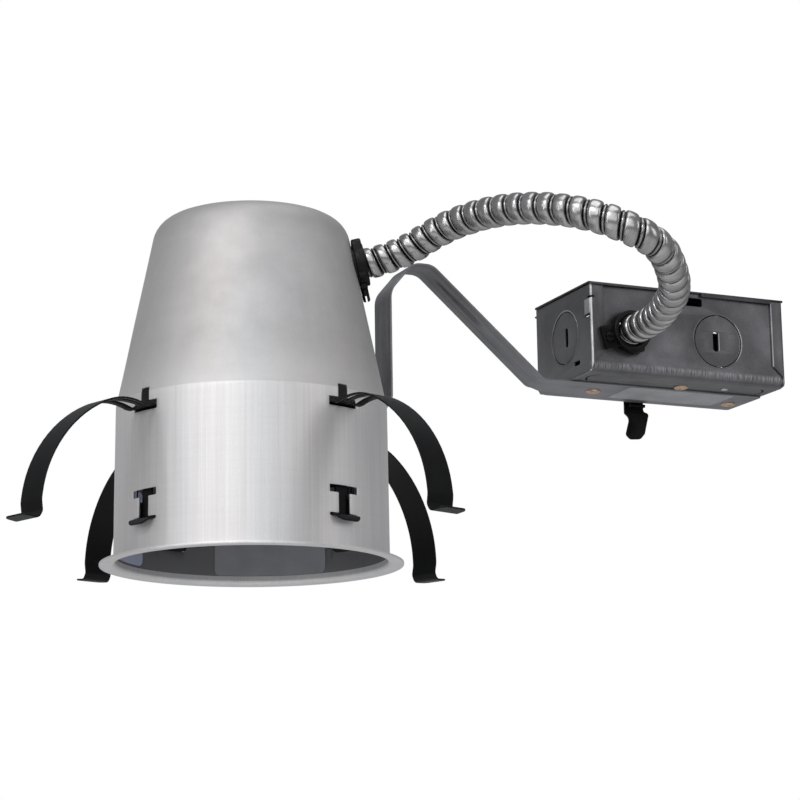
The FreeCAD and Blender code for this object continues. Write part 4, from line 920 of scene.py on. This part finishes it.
for name, azd, rest in CLIPS:
    bm = flat(clip_outline, [rounded([(s_slot0, 1.3), (s_slot1, 2.6), (s_slot1, 4.0), (s_slot0, 5.4)], [0.6, 0.6, 0.6, 0.6], 3),
                             rounded([(s_slot0, -1.3), (s_slot0, -5.4), (s_slot1, -4.0), (s_slot1, -2.6)], [0.6, 0.6, 0.6, 0.6], 3)], 0.8, 0.16, 2)
    slice_at(bm, 0, clip_path.cuts(4.0))

    def clip_map(co):
        x, z = clip_path.at(co.x, co.z)
        # the two outer prongs bow down toward the can
        f = max(0.0, min(1.0, (s_slot1 - co.x) / (s_slot1 - s_slot0)))
        g = max(0.0, min(1.0, (co.x - s_slot0 + 2.5) / 4.0))
        side = max(0.0, min(1.0, (abs(co.y) - 4.6) / 1.6))
        if co.x > s_slot0 - 2.5:
            z -= 2.3 * side * f * f * g
        return Vector((x, co.y, z))
    warp(bm, clip_map)
    mt = (Matrix.Rotation(math.radians(azd), 4, "Z") @ Matrix.Translation((66.8, 0, 70.0))
          @ Matrix.Rotation(math.radians(rest), 4, "Y") @ Matrix.Translation((-66.8, 0, -70.0)))
    bmesh.ops.transform(bm, matrix=mt, verts=bm.verts)
    make(name + "_spring", bm, "black_spring", name, [name], angle=40)

# ------------------------------------------------------------------ strap
pz = 103.4
strap_path = Path(bent([(67.65, 61.5), (67.65, 80.0), (71.7, 87.0), (71.7, 143.0), (84.5, 158.2),
                        (95.4, 158.2), (157.9, pz), (290.0, pz)], [5.0, 5.0, 11.0, 9.0, 9.0, 5.0]))


def sx(x):
    return strap_path.length - (290.0 - x)


bm = flat(rounded([(0, -10), (sx(290), -10.3), (sx(290), 24.5), (sx(176), 24.5), (sx(168), 16.2), (sx(160), 10.0), (0, 10)],
                  [3.0, 1.5, 1.5, 3.0, 4.0, 4.0, 3.0], 5), [], 1.0, 0.16, 2)
slice_at(bm, 0, strap_path.cuts(6.0, 12.0))
s_b0, s_b1 = strap_path.find(0, 101.0, strap_path.s[8], strap_path.length), strap_path.find(0, 124.5, strap_path.s[8], strap_path.length)
slice_at(bm, 0, [s_b0 + (s_b1 - s_b0) * i / 20 for i in range(21)])
slice_at(bm, 1, [-5 + 0.5 * i for i in range(13)])


def strap_map(co):
    # long pressed bead near the top of the slope, wider at its lower end
    w = 0.0
    if s_b0 <= co.x <= s_b1:
        q = (co.x - s_b0) / (s_b1 - s_b0)
        half = 1.1 + 1.7 * q
        d = abs(co.y + 1.6) / half
        ends = min(1.0, q / 0.12, (1 - q) / 0.10)
        if d < 1.0:
            w = 0.75 * (1 - d * d) * ends
    x, z = strap_path.at(co.x, co.z + w)
    return Vector((x, co.y, z))


warp(bm, strap_map)
make("strap_bent", bm, "strap_steel", "housing", ["arm_strap"])


def dome(r, h, n=40, flat_top=0.0):
    """Rivet head about Z, its seat at z = 0."""
    prof = [(r, 0.0), (r, 0.28)]
    k = 7
    for i in range(1, k + 1):
        a = pi / 2 * i / k
        prof.append((max(0.0, (r - flat_top) * math.cos(a) + flat_top * (1 if i < k else 0)), 0.28 + (h - 0.28) * math.sin(a)))
    prof[-1] = (0.0, h)
    return lathe([(0, 0.0)] + prof, n)


def rivets(name, spots, mat, body, rep):
    parts = []
    for at, d, r, h, back, grip in spots:
        parts.append(aim(dome(r, h), at, d))
        e = Vector(at) - Vector(d) * grip
        parts.append(aim(dome(back, 0.9), e, -Vector(d)))
        parts.append(aim(lathe([(0, -grip), (2.0, -grip), (2.0, 0), (0, 0)], 32), at, d))
    return make(name, join(parts), mat, body, [rep], angle=35)


rivets("strap_rivet_pair", [((68.15, 0, 66.5), (1, 0, 0), 4.0, 1.5, 2.6, 2.3), ((68.15, 0, 75.5), (1, 0, 0), 4.0, 1.5, 2.6, 2.3)],
       "zinc", "housing", "strap_rivets")
rivets("copper_rivet_set", [((195.5, 6.0, 102.9), (0, 0, -1), 4.0, 1.4, 2.9, 2.0), ((281.2, 9.8, 102.9), (0, 0, -1), 4.0, 1.4, 2.6, 2.0),
                            ((237.2, -14.9, 103.9), (0, 0, -1), 4.0, 1.4, 2.9, 2.2)], "copper", "housing", "copper_rivets")

# ------------------------------------------------------------------ wiring box
XL, XR, YF, YR, ZB, ZT = 174.0, 290.5, -33.0, 27.7, 103.9, 150.5
wrap_path = Path(bent([(YR, ZB + 0.5), (YF + 0.5, ZB + 0.5), (YF + 0.5, ZT)], [4.0]))


def wz(z):
    return wrap_path.length - (ZT - z)


def wy(y):
    return YR - y


def knockout_holes(cx, cy, dia, gap=0.35, tie=1.3, pry=None):
    r = dia / 2
    d = math.asin(tie / r)
    out = [arc_slot(cx, cy, r - gap, r, pi / 2 + d, 3 * pi / 2 - d, 30), arc_slot(cx, cy, r - gap, r, -pi / 2 + d, pi / 2 - d, 30)]
    return out + ([pry] if pry else [])


holes = knockout_holes(250.0, wz(125.8), 28.3, pry=rect(247.1, 250.4, wz(120.2), wz(130.9), 1.6, 6))
holes.append(circle(196.0, wz(126.0), 10.5))
holes.append(rect(226.0, 241.3, wz(143.6), wz(148.1), 1.2))
for x, y in ((195.5, 6.0), (281.2, 9.8), (237.2, -14.9)):
    holes.append(circle(x, wy(y), 2.05, 24))
holes.append(arc_slot(188.0, wy(-19.5), 8.6, 9.6, math.radians(125), math.radians(235), 16))
holes.append(arc_slot(276.5, wy(-16.0), 8.6, 9.6, math.radians(-60), math.radians(60), 16))
bm = flat([(XL + T, 0), (XR - T, 0), (XR - T, wrap_path.length), (XL + T, wrap_path.length)], holes, T, 0.10, 1)
slice_at(bm, 1, wrap_path.cuts(9.0))


def wrap_map(co):
    y, z = wrap_path.at(co.y, -co.z)
    return Vector((co.x, y, z))


warp(bm, wrap_map)
bms = [bm]


def ring_ridge(r0, r1, h, n=72):
    """Shallow raised ring about Z."""
    return lathe([(r0, 0), (r0 + 0.15 * (r1 - r0), h * 0.8), ((r0 + r1) / 2, h), (r1 - 0.15 * (r1 - r0), h * 0.8), (r1, 0)], n)


bms.append(aim(ring_ridge(14.2, 15.1, 0.16), (250.0, YF + 0.01, 125.8), (0, -1, 0)))
make("box_wrap", join(bms), "box_steel", "housing", ["box_body"])


def end_plate(name, x_out, sgn, holes_fn, foot, top_foot, rep, extra=()):
    p = Path(bent([(YR, 0.5), (YF - 0.5, 0.5), (YF - 0.5, 7.5)], [1.0]))
    # main plate runs from the rear edge to the front, then folds along X
    Ls = p.length

    def sy(y):
        return YR - y

    def sfx(x):
        return Ls - (7.5 - x)
    outline = rounded([(0, ZB + 1.8), (sy(YR - 1.8), ZB), (sy(YF + 4.5), ZB), (sy(YF + 0.6), ZB + 0.8), (sy(YF - 0.3), ZB + 3.0),
                       (sfx(1.8), ZB + 5.9), (sfx(7.5), ZB + 11.0), (sfx(7.5), ZT - 0.4), (0, ZT - 0.2)],
                      [0.3, 0.3, 2.0, 1.5, 1.0, 0.8, 1.0, 0.8, 0.5], 4)
    b = flat(outline, holes_fn(sy, sfx), T, 0.12, 1)
    slice_at(b, 0, p.cuts(15.0))

    def fn(co):
        y, x = p.at(co.x, -co.z)
        return Vector((x_out + sgn * x, y, co.y))
    warp(b, fn)
    parts = [b]
    lo, hi = sorted((x_out + sgn * T, x_out + sgn * foot))
    parts.append(block(lo, hi, YF + 8, YR - 5, ZB + T + 0.02, ZB + 2 * T, 0.15, 1))
    lo, hi = sorted((x_out + sgn * T, x_out + sgn * top_foot))
    parts.append(block(lo, hi, -14, 14, ZT - T, ZT - 0.02, 0.15, 1))
    rr = aim(ring_ridge(14.05, 15.0, 0.2), (x_out - sgn * -0.01, -4.5, 127.5), (-sgn, 0, 0))
    parts.append(rr)
    parts.extend(extra)
    make(name, join(parts), "box_steel", "housing", [rep])


def left_holes(sy, sfx):
    h = knockout_holes(sy(-4.5), 127.5, 28.0, pry=rect(sy(-4.6), sy(-8.0), 122.0, 132.4, 1.6, 6))
    h.append(rect(sy(-13.7), sy(-20.4), 110.0, 112.4, 1.0))
    h.append(rect(sy(-27.2), sfx(0.1), 133.3, 134.5, 0.3, 2))
    h.append(rect(sy(-30.2), sfx(2.2), 142.8, 144.0, 0.3, 2))
    return h


def right_holes(sy, sfx):
    return knockout_holes(sy(-4.5), 127.5, 28.0, pry=rect(sy(-4.6), sy(-8.0), 122.0, 132.4, 1.6, 6))


corner_tab = block(XL - 0.45, XL + 0.3, YF - 0.2, -27.6, 134.7, 142.6, 0.2, 2)
end_plate("box_end_left_sheet", XL, 1, left_holes, 8.0, 9.0, "box_end_left", [corner_tab])
end_plate("box_end_right_sheet", XR, -1, right_holes, 5.0, 9.0, "box_end_right")

# Lid: top plate, front lip folded down, ears curled round the pins at the rear
DY, DZ = 31.2, 149.2
hinge_at = [(186.0, 10.0), (262.0, 10.0)]
lid_prims = [("A", (DY, DZ), 1.85, math.radians(-160.0), math.radians(90.0))]
lid_prims.append(("L", (DY, DZ + 1.85), (YR + 0.5, ZT + 0.5)))
lid_prims += bent([(YR + 0.5, ZT + 0.5), (YF - 1.35, ZT + 0.5), (YF - 1.35, 148.7)], [0.9])
lid_path = Path(lid_prims)
s_rear = lid_path.s[2]
LL = lid_path.length


def lz(z):
    return LL - (z - 148.7)


x0, x1 = XL - 0.8, XR + 0.8
pts = [(x0, s_rear), (x0, lz(149.8)), (222.0, lz(149.8)), (222.0, lz(150.9)), (240.0, lz(150.9)), (240.0, LL), (x1 - 8.3, LL), (x1 - 8.3, lz(150.9)), (x1, lz(150.9)), (x1, s_rear)]
rr = [1.0, 0.5, 0.5, 0.2, 0.2, 0.5, 0.5, 0.2, 1.0, 1.0]
for x, w in reversed(hinge_at):
    for a, b in ((x + 5.0 + w + 0.6, x + 10.0 + w + 0.6), (x, x + 5.0)):
        pts += [(b, s_rear), (b, 0.0), (a, 0.0), (a, s_rear)]
        rr += [0.3, 0.3, 0.3, 0.3]
bm = flat(rounded(pts, rr, 3), [circle(179.5, lid_path.find(0, 0.0, s_rear, LL), 1.9, 24), circle(285.0, lid_path.find(0, 0.0, s_rear, LL), 1.9, 24)], T * 0.98, 0.12, 1)
slice_at(bm, 1, lid_path.cuts(12.0))


def lid_map(co):
    y, z = lid_path.at(co.y, -co.z)
    return Vector((co.x, y, z))


warp(bm, lid_map)
make("box_lid_sheet", bm, "lid_steel", "housing", ["box_lid"])


def pan_screw(r, h, shank, length, slot=True):
    prof = fillet_profile([(0, h), (r, h), (r, 0), (shank, 0), (shank, -length), (0, -length)], [h * 0.55, 0.1, 0.1, 0.2], 4)
    b = lathe(prof, 40)
    if slot:
        c = block(-r * 1.2, r * 1.2, -0.45, 0.45, h * 0.45, h + 1, 0)
        return boolean(b, c)
    return b


def boolean(a, b, op="DIFFERENCE"):
    objs = []
    for q in (a, b):
        bmesh.ops.recalc_face_normals(q, faces=q.faces)
        me = bpy.data.meshes.new("b")
        q.to_mesh(me)
        q.free()
        o = bpy.data.objects.new("b", me)
        scene.collection.objects.link(o)
        objs.append(o)
    md = objs[0].modifiers.new("b", "BOOLEAN")
    md.operation = op
    md.solver = "EXACT"
    md.object = objs[1]
    dg = bpy.context.evaluated_depsgraph_get()
    me = bpy.data.meshes.new_from_object(objs[0].evaluated_get(dg))
    for o in objs:
        old = o.data
        bpy.data.objects.remove(o)
        bpy.data.meshes.remove(old)
    out = bmesh.new()
    out.from_mesh(me)
    bpy.data.meshes.remove(me)
    return out


make("lid_screw_pair", join([aim(pan_screw(3.4, 1.8, 1.6, 6.5), (x, 0, ZT + T), (0, 0, 1)) for x in (179.5, 285.0)]),
     "zinc", "housing", ["lid_screws"], angle=35)

# Rear door with two curled knuckles and latch ears
GY = 28.5
door_path = Path(bent([(GY, ZB + 0.6), (GY, DZ - 2.6), (DY - 1.0, DZ - 1.85)], [0.8])
                 + [("L", (DY - 1.0, DZ - 1.85), (DY, DZ - 1.85)), ("A", (DY, DZ), 1.85, math.radians(-90), math.radians(170))])
s_top = door_path.find(1, ZT - 2.7, 0, door_path.length)
pts = [(XL + 1.5, 0.0), (XR - 1.5, 0.0), (XR - 1.5, s_top)]
rr = [1.5, 1.5, 0.5]
for x, w in reversed(hinge_at):
    a, b = x + 5.3, x + 5.3 + w
    pts += [(b, s_top), (b, door_path.length), (a, door_path.length), (a, s_top)]
    rr += [0.3, 0.3, 0.3, 0.3]
pts += [(XL + 1.5, s_top)]
rr += [0.5]
bm = flat(rounded(pts, rr, 3), [], T * 0.98, 0.12, 1)
slice_at(bm, 1, door_path.cuts(15.0))


def door_map(co):
    y, z = door_path.at(co.y, co.z)
    return Vector((co.x, y, z))


warp(bm, door_map)
LY, LZ = 31.0, 110.0
parts = [bm]
for x in (225.6, 241.2):
    e = flat(rounded([(29.0, LZ - 2.5), (LY + 2.2, LZ - 2.5), (LY + 2.2, LZ + 2.5), (29.0, LZ + 2.5)], [0, 2.0, 2.0, 0], 5), [circle(LY, LZ, 1.25, 24)], 1.2, 0.1, 1)
    warp(e, lambda co, x=x: Vector((x + 0.6 + co.z, co.x, co.y)))
    parts.append(e)
# pressed stiffening rib across the door
rib = flat(rounded([(190, 128), (275, 128), (275, 134), (190, 134)], 2.9, 6), [], 0.7, 0.3, 2)
warp(rib, lambda co: Vector((co.x, 29.05 + co.z, co.y)))
parts.append(rib)
make("box_door_sheet", join(parts), "lid_steel", "door", ["box_door"])
make("hinge_pin_pair", join([aim(lathe(fillet_profile([(0, 0), (1.2, 0), (1.2, w + 10.6), (0, w + 10.6)], 0.25, 3), 28), (x, DY, DZ), (1, 0, 0))
                             for x, w in hinge_at]), "zinc", "housing", ["hinge_pins"], angle=35)
make("latch_pin_turned", aim(lathe(fillet_profile([(0, 0), (1.2, 0), (1.2, 17.6), (0, 17.6)], 0.25, 3), 28), (225.2, LY, LZ), (1, 0, 0)),
     "zinc", "door", ["latch_pin"], angle=35)

# Latch lever
lev = flat(rounded([(239.7, LZ), (239.7, 99.4), (243.2, 98.9), (240.2, 87.2), (237.6, 84.2), (231.4, 83.7), (228.7, 86.2), (231.3, 95.4),
                    (228.2, 98.0), (228.2, LZ)], [0.3, 1.5, 1.6, 2.0, 2.5, 2.5, 2.0, 3.0, 1.0, 0.3], 5), [], 1.8, 0.35, 2)
warp(lev, lambda co: Vector((co.x, LY + co.z, co.y)))
hub = aim(tube_piece(1.28, 1.9, 0, 13.8, 0.2, 32), (227.0, LY, LZ), (1, 0, 0))
hook = block(229.5, 238.5, 25.7, LY - 0.4, 101.0, 102.6, 0.3, 2)
make("latch_lever_cast", join([lev, hub, hook]), "black_spring", "latch", ["latch_lever"], angle=40)

# ------------------------------------------------------------------ fittings
def nut(r_in, r_out, t, n=48):
    b = tube_piece(r_in, r_out, 0, t, 0.35, n)
    parts = [b]
    for k in range(4):
        q = block(r_out - 0.8, r_out + 1.6, -2.0, 2.0, 0.0, t, 0.35, 2)
        bmesh.ops.rotate(q, cent=(0, 0, 0), matrix=Matrix.Rotation(k * pi / 2 + 0.4, 3, "Z"), verts=q.verts)
        parts.append(q)
    return join(parts)


bx, bz = 196.0, 126.0
parts = []
parts.append(aim(tube_piece(7.3, 10.25, -9.0, 1.0, 0.3), (bx, YF, bz), (0, -1, 0)))
parts.append(aim(tube_piece(8.2, 10.75, 0.5, 5.8, 0.7), (bx, YF, bz), (0, -1, 0)))
e = flat(rounded([(181.3, 115.2), (189.5, 117.4), (197.5, 114.0), (203.6, 115.9), (203.9, 121.0), (196.0, 134.0), (187.5, 129.6), (178.1, 127.2)],
                 [0.8, 1.0, 1.4, 1.0, 1.0, 3.0, 1.0, 0.8], 4),
         [circle(bx, bz, 10.2, 48), circle(183.2, 121.8, 1.65, 20), rounded([(185.2, 119.4), (186.0, 119.6), (184.7, 125.2), (183.9, 125.0)], 0.3, 3)], 2.2, 0.3, 2)
warp(e, lambda co: Vector((co.x, YF - 2.5 - co.z, co.y)))
parts.append(e)
make("box_connector_cast", join(parts), "black_fitting", "housing", ["box_connector"], angle=40)
make("box_clamp_screw_pan", aim(pan_screw(2.4, 1.1, 1.58, 2.3), (183.2, YF - 3.6, 121.8), (0, -1, 0)), "black_fitting", "housing", ["box_clamp_screw"], angle=35)
make("box_locknut_ring", aim(nut(10.35, 13.2, 2.4), (bx, YF + 1.0, bz), (0, 1, 0)), "zinc", "housing", ["box_locknut"], angle=35)

up = (Vector((0, 0, 1)) - NF * NF.z).normalized()


def on_can(b):
    return aim(b, PF, NF, up)


parts = [on_can(tube_piece(7.3, 10.25, -6.0, 1.0, 0.3)), on_can(tube_piece(8.2, 10.9, 0.4, 5.6, 0.7))]
e = flat(rounded([(-9.0, -9.0), (9.0, -9.0), (9.0, 12.4), (-9.0, 12.4)], [1.5, 1.5, 3.5, 3.5], 5), [circle(0, 0, 8.2, 48)], 4.6, 0.9, 3)
warp(e, lambda co: Vector((co.x, co.y, co.z + 2.5 + (0.35 if co.z > 0 and co.y > 6 else 0.0))))
parts.append(on_can(e))
parts.append(on_can(block(-3.0, 3.0, -12.9, -8.5, 0.15, 3.9, 0.6, 3)))
make("can_connector_cast", join(parts), "black_fitting", "housing", ["can_connector"], angle=40)
make("can_clamp_screw_set", aim(pan_screw(1.85, 6.2, 1.15, 5.2), PF + NF * 1.95 - up * 12.95, -up, up=NF), "black_spring", "housing", ["can_clamp_screw"], angle=35)
make("can_locknut_ring", aim(nut(10.35, 13.2, 2.2), PF - NF * 2.95, -NF), "zinc", "housing", ["can_locknut"], angle=35)

# ------------------------------------------------------------------ inside the box
cp = Path(bent([(-8.0, ZB + 1.6), (-26.4, ZB + 1.6), (-26.4, 141.2), (-20.4, 147.0)], [1.2, 2.0]))
bm = flat(rounded([(230.0, 0), (245.0, 0), (245.0, cp.length), (230.0, cp.length)], [1.5, 1.5, 2.5, 2.5], 4), [circle(237.2, 6.9, 2.05, 24)], 1.15, 0.15, 1)
slice_at(bm, 1, cp.cuts(12.0))
warp(bm, lambda co: Vector((co.x, *cp.at(co.y, -co.z))))
make("cable_clamp_strip", bm, "box_steel", "housing", ["cable_clamp"])
make("ground_screw_pan", aim(pan_screw(4.2, 2.2, 1.85, 1.5), (262.0, -18.0, ZB + T), (0, 0, 1)), "zinc", "housing", ["ground_screw"], angle=35)

# ------------------------------------------------------------------ inside the can
rp = Path(bent([(13.0, 172.13), (29.4, 172.13), (29.4, 100.0)], [1.4]))
bm = flat(rounded([(-9, 0), (9, 0), (9, rp.length), (-9, rp.length)], [2, 2, 3, 3], 4),
          [rect(-2.6, 2.6, rp.find(1, 161.0, rp.s[2], rp.length), rp.find(1, 105.0, rp.s[2], rp.length), 2.5, 6),
           circle(-5, 7.0, 2.05, 24), circle(5, 7.0, 2.05, 24)], 1.2, 0.15, 1)
slice_at(bm, 1, rp.cuts(12.0))
warp(bm, lambda co: Vector((co.x, *rp.at(co.y, co.z))))
make("lamp_rail_sheet", bm, "lamp_steel", "housing", ["lamp_rail"])
rivets("rail_rivet_pair", [((-5, 20, 173.75), (0, 0, 1), 3.4, 1.5, 2.7, 2.22), ((5, 20, 173.75), (0, 0, 1), 3.4, 1.5, 2.7, 2.22)], "copper", "housing", "rail_rivets")
rivets("protector_rivet_dome", [((-22, 0, 173.75), (0, 0, 1), 3.4, 1.5, 2.7, 10.25)], "copper", "housing", "protector_rivet")
make("thermal_protector_case", block(-33, -15, -7.5, 7.5, 163.5, 172.7, 1.2, 3), "black_plastic", "housing", ["thermal_protector"])

lp = Path(bent([(-26.0, 112.6), (27.9, 112.6), (27.9, 130.0)], [1.2]))
pts = [(26 * math.cos(math.radians(a)), 26 + 26 * math.sin(math.radians(a))) for a in range(108, 433, 6)]
pts += [(8.0, lp.length), (-8.0, lp.length)]
bm = flat(pts, [circle(0, 26.0, 5.0, 32), circle(-16, 26.0, 1.65, 20), circle(16, 26.0, 1.65, 20),
                circle(0, lp.find(1, 121.0, lp.s[2], lp.length), 2.45, 24)], 1.18, 0.15, 1)
slice_at(bm, 1, lp.cuts(12.0))
warp(bm, lambda co: Vector((co.x, *lp.at(co.y, -co.z))))
make("lamp_plate_sheet", bm, "lamp_steel", "lamp_carrier", ["lamp_plate"])
make("slide_bolt_turned", join([aim(lathe(fillet_profile([(0, 11.3), (2.35, 11.3), (2.35, 1.8), (4.6, 1.8), (4.6, 0), (0, 0)], [0.4, 0.1, 0.8, 0.8], 3), 40), (0, 25.5, 121.0), (0, 1, 0))]),
     "zinc", "lamp_carrier", ["slide_bolt"], angle=35)
wing = [aim(tube_piece(2.42, 4.2, 0, 4.6, 0.5, 40), (0, 30.35, 121.0), (0, 1, 0))]
for sgn in (-1, 1):
    w = flat(rounded([(sgn * 3.4, 118.6), (sgn * 10.4, 117.2), (sgn * 10.4, 124.8), (sgn * 3.4, 123.4)], [0.6, 2.6, 2.6, 0.6], 5), [], 1.6, 0.4, 2)
    warp(w, lambda co: Vector((co.x, 32.75 + co.z, co.y)))
    wing.append(w)
make("wing_nut_cast", join(wing), "zinc", "lamp_carrier", ["wing_nut"], angle=35)
hold = lathe(rounded([(13.9, 76.0), (20.6, 76.0), (20.6, 79.0), (19.0, 79.6), (19.0, 112.0), (2.2, 112.0), (2.2, 104.2), (13.9, 104.0)],
                     [0.8, 1.2, 0.8, 0.6, 1.6, 0.4, 0.3, 0.5], 4), 72, closed=True)
make("lamp_holder_body", hold, "porcelain", "lamp_carrier", ["lamp_holder"], angle=35)
# rolled thread in the screw shell
bm = bmesh.new()
rows = []
n = 72
z0, z1 = 78.2, 101.8
steps = 70
for k in range(steps + 1):
    z = z0 + (z1 - z0) * k / steps
    row = []
    for i in range(n):
        a = 2 * pi * i / n
        r = 13.42 + 0.22 * math.cos(2 * pi * (z / 3.6 - a / (2 * pi)))
        row.append(bm.verts.new((r * math.cos(a), r * math.sin(a), z)))
    rows.append(row)
tail = [bm.verts.new((6.1 * math.cos(2 * pi * i / n), 6.1 * math.sin(2 * pi * i / n), z1)) for i in range(n)]
rows.append(tail)
for a, b in zip(rows, rows[1:]):
    for i in range(n):
        j = (i + 1) % n
        bm.faces.new((a[i], a[j], b[j], b[i]))
bmesh.ops.solidify(bm, geom=list(bm.faces), thickness=0.3)
make("screw_shell_rolled", bm, "brass", "lamp_carrier", ["screw_shell"], angle=40)
make("centre_contact_stud", lathe(fillet_profile([(0, 99.8), (4.5, 99.8), (4.5, 101.0), (2.2, 101.0), (2.2, 111.9), (0, 111.9)], [0.5, 0.4, 0.1, 0.2], 3), 40),
     "brass", "lamp_carrier", ["centre_contact"], angle=35)
make("holder_screw_pair", join([aim(pan_screw(3.0, 1.7, 1.58, 9.0), (x, 0, 113.22), (0, 0, 1)) for x in (-16, 16)]), "zinc", "lamp_carrier", ["holder_screws"], angle=35)

# ------------------------------------------------------------------ labels, left blank
lab = flat(rect(210.0, 274.0, -9.2, 17.5, 2.6, 6), [], 0.10, 0.02, 1)
warp(lab, lambda co: Vector((co.x, co.y, 102.84 + co.z)))
make("strap_label_sheet", lab, "label", "housing", ["strap_label"])


def wall_label(name, a0, a1, z0, z1, rep, mat="label_in"):
    r_hi = 66.5 - 0.56 * (z1 - 1.5) / 75.7 - 0.12
    u0, u1 = math.radians(a0) * r_hi, math.radians(a1) * r_hi
    b = flat(rect(u0, u1, z0, z1, 3.0, 6), [], 0.12, 0.03, 1)
    nn = 40
    slice_at(b, 0, [u0 + (u1 - u0) * i / nn for i in range(1, nn)])
    warp(b, lambda co: Vector(((r_hi + co.z) * math.cos(co.x / r_hi), (r_hi + co.z) * math.sin(co.x / r_hi), co.y)))
    make(name, b, mat, "housing", [rep])


wall_label("label_left_sheet", 126.0, 166.0, 4.6, 42.0, "label_inner_left", "label_blue")
wall_label("label_far_sheet", 35.0, 86.5, 3.8, 40.0, "label_inner_far")

# ------------------------------------------------------------------ studio
floor_me = bpy.data.meshes.new("studio_floor")
floor_me.from_pydata([(-6, -6, -0.6), (6, -6, -0.6), (6, 6, -0.6), (-6, 6, -0.6)], [], [(0, 1, 2, 3)])
floor = bpy.data.objects.new("studio_floor", floor_me)
scene.collection.objects.link(floor)
fm = bpy.data.materials.new("floor_pale")
fm.use_nodes = True
fm.node_tree.nodes["Principled BSDF"].inputs["Base Color"].default_value = (0.86, 0.86, 0.86, 1)
fm.node_tree.nodes["Principled BSDF"].inputs["Roughness"].default_value = 0.8
floor_me.materials.append(fm)

world = bpy.data.worlds.new("studio")
scene.world = world
world.use_nodes = True
wt = world.node_tree
wt.nodes.clear()
wo = wt.nodes.new("ShaderNodeOutputWorld")
bg1 = wt.nodes.new("ShaderNodeBackground")
bg2 = wt.nodes.new("ShaderNodeBackground")
mx = wt.nodes.new("ShaderNodeMixShader")
lpn = wt.nodes.new("ShaderNodeLightPath")
bg1.inputs[0].default_value = (0.80, 0.82, 0.86, 1)
bg1.inputs[1].default_value = 0.42
bg2.inputs[0].default_value = (1, 1, 1, 1)
bg2.inputs[1].default_value = 1.0
wt.links.new(lpn.outputs["Is Camera Ray"], mx.inputs[0])
wt.links.new(bg1.outputs[0], mx.inputs[1])
wt.links.new(bg2.outputs[0], mx.inputs[2])
wt.links.new(mx.outputs[0], wo.inputs[0])


def area(name, at, to, sx, sy, power, color=(1, 1, 1)):
    d = bpy.data.lights.new(name, "AREA")
    d.shape = "RECTANGLE"
    d.size, d.size_y = sx, sy
    d.energy = power
    d.color = color
    o = bpy.data.objects.new(name, d)
    scene.collection.objects.link(o)
    o.location = at
    o.rotation_euler = (Vector(to) - Vector(at)).to_track_quat("-Z", "Y").to_euler()
    return o


mid_p = Vector((0.05, 0, 0.09))
back = -Vector((fwd.x, fwd.y, 0)).normalized()
side = Vector((rgt.x, rgt.y, 0)).normalized()


def spot_at(b, r, u):
    return mid_p + back * b + side * r + Vector((0, 0, u))


area("key", spot_at(1.8, -0.50, 1.0), mid_p, 3.0, 2.0, 24)
area("fill_right", spot_at(1.0, 1.9, 0.7), mid_p, 0.35, 1.3, 5.0)
area("top", spot_at(0.2, 0.2, 1.6), mid_p, 1.4, 1.0, 8)
area("soft_left", spot_at(1.3, -0.75, 1.25), mid_p, 0.60, 0.40, 8.0)
area("strip_left", spot_at(1.2, -1.6, 0.30), mid_p, 0.10, 1.3, 2.6)
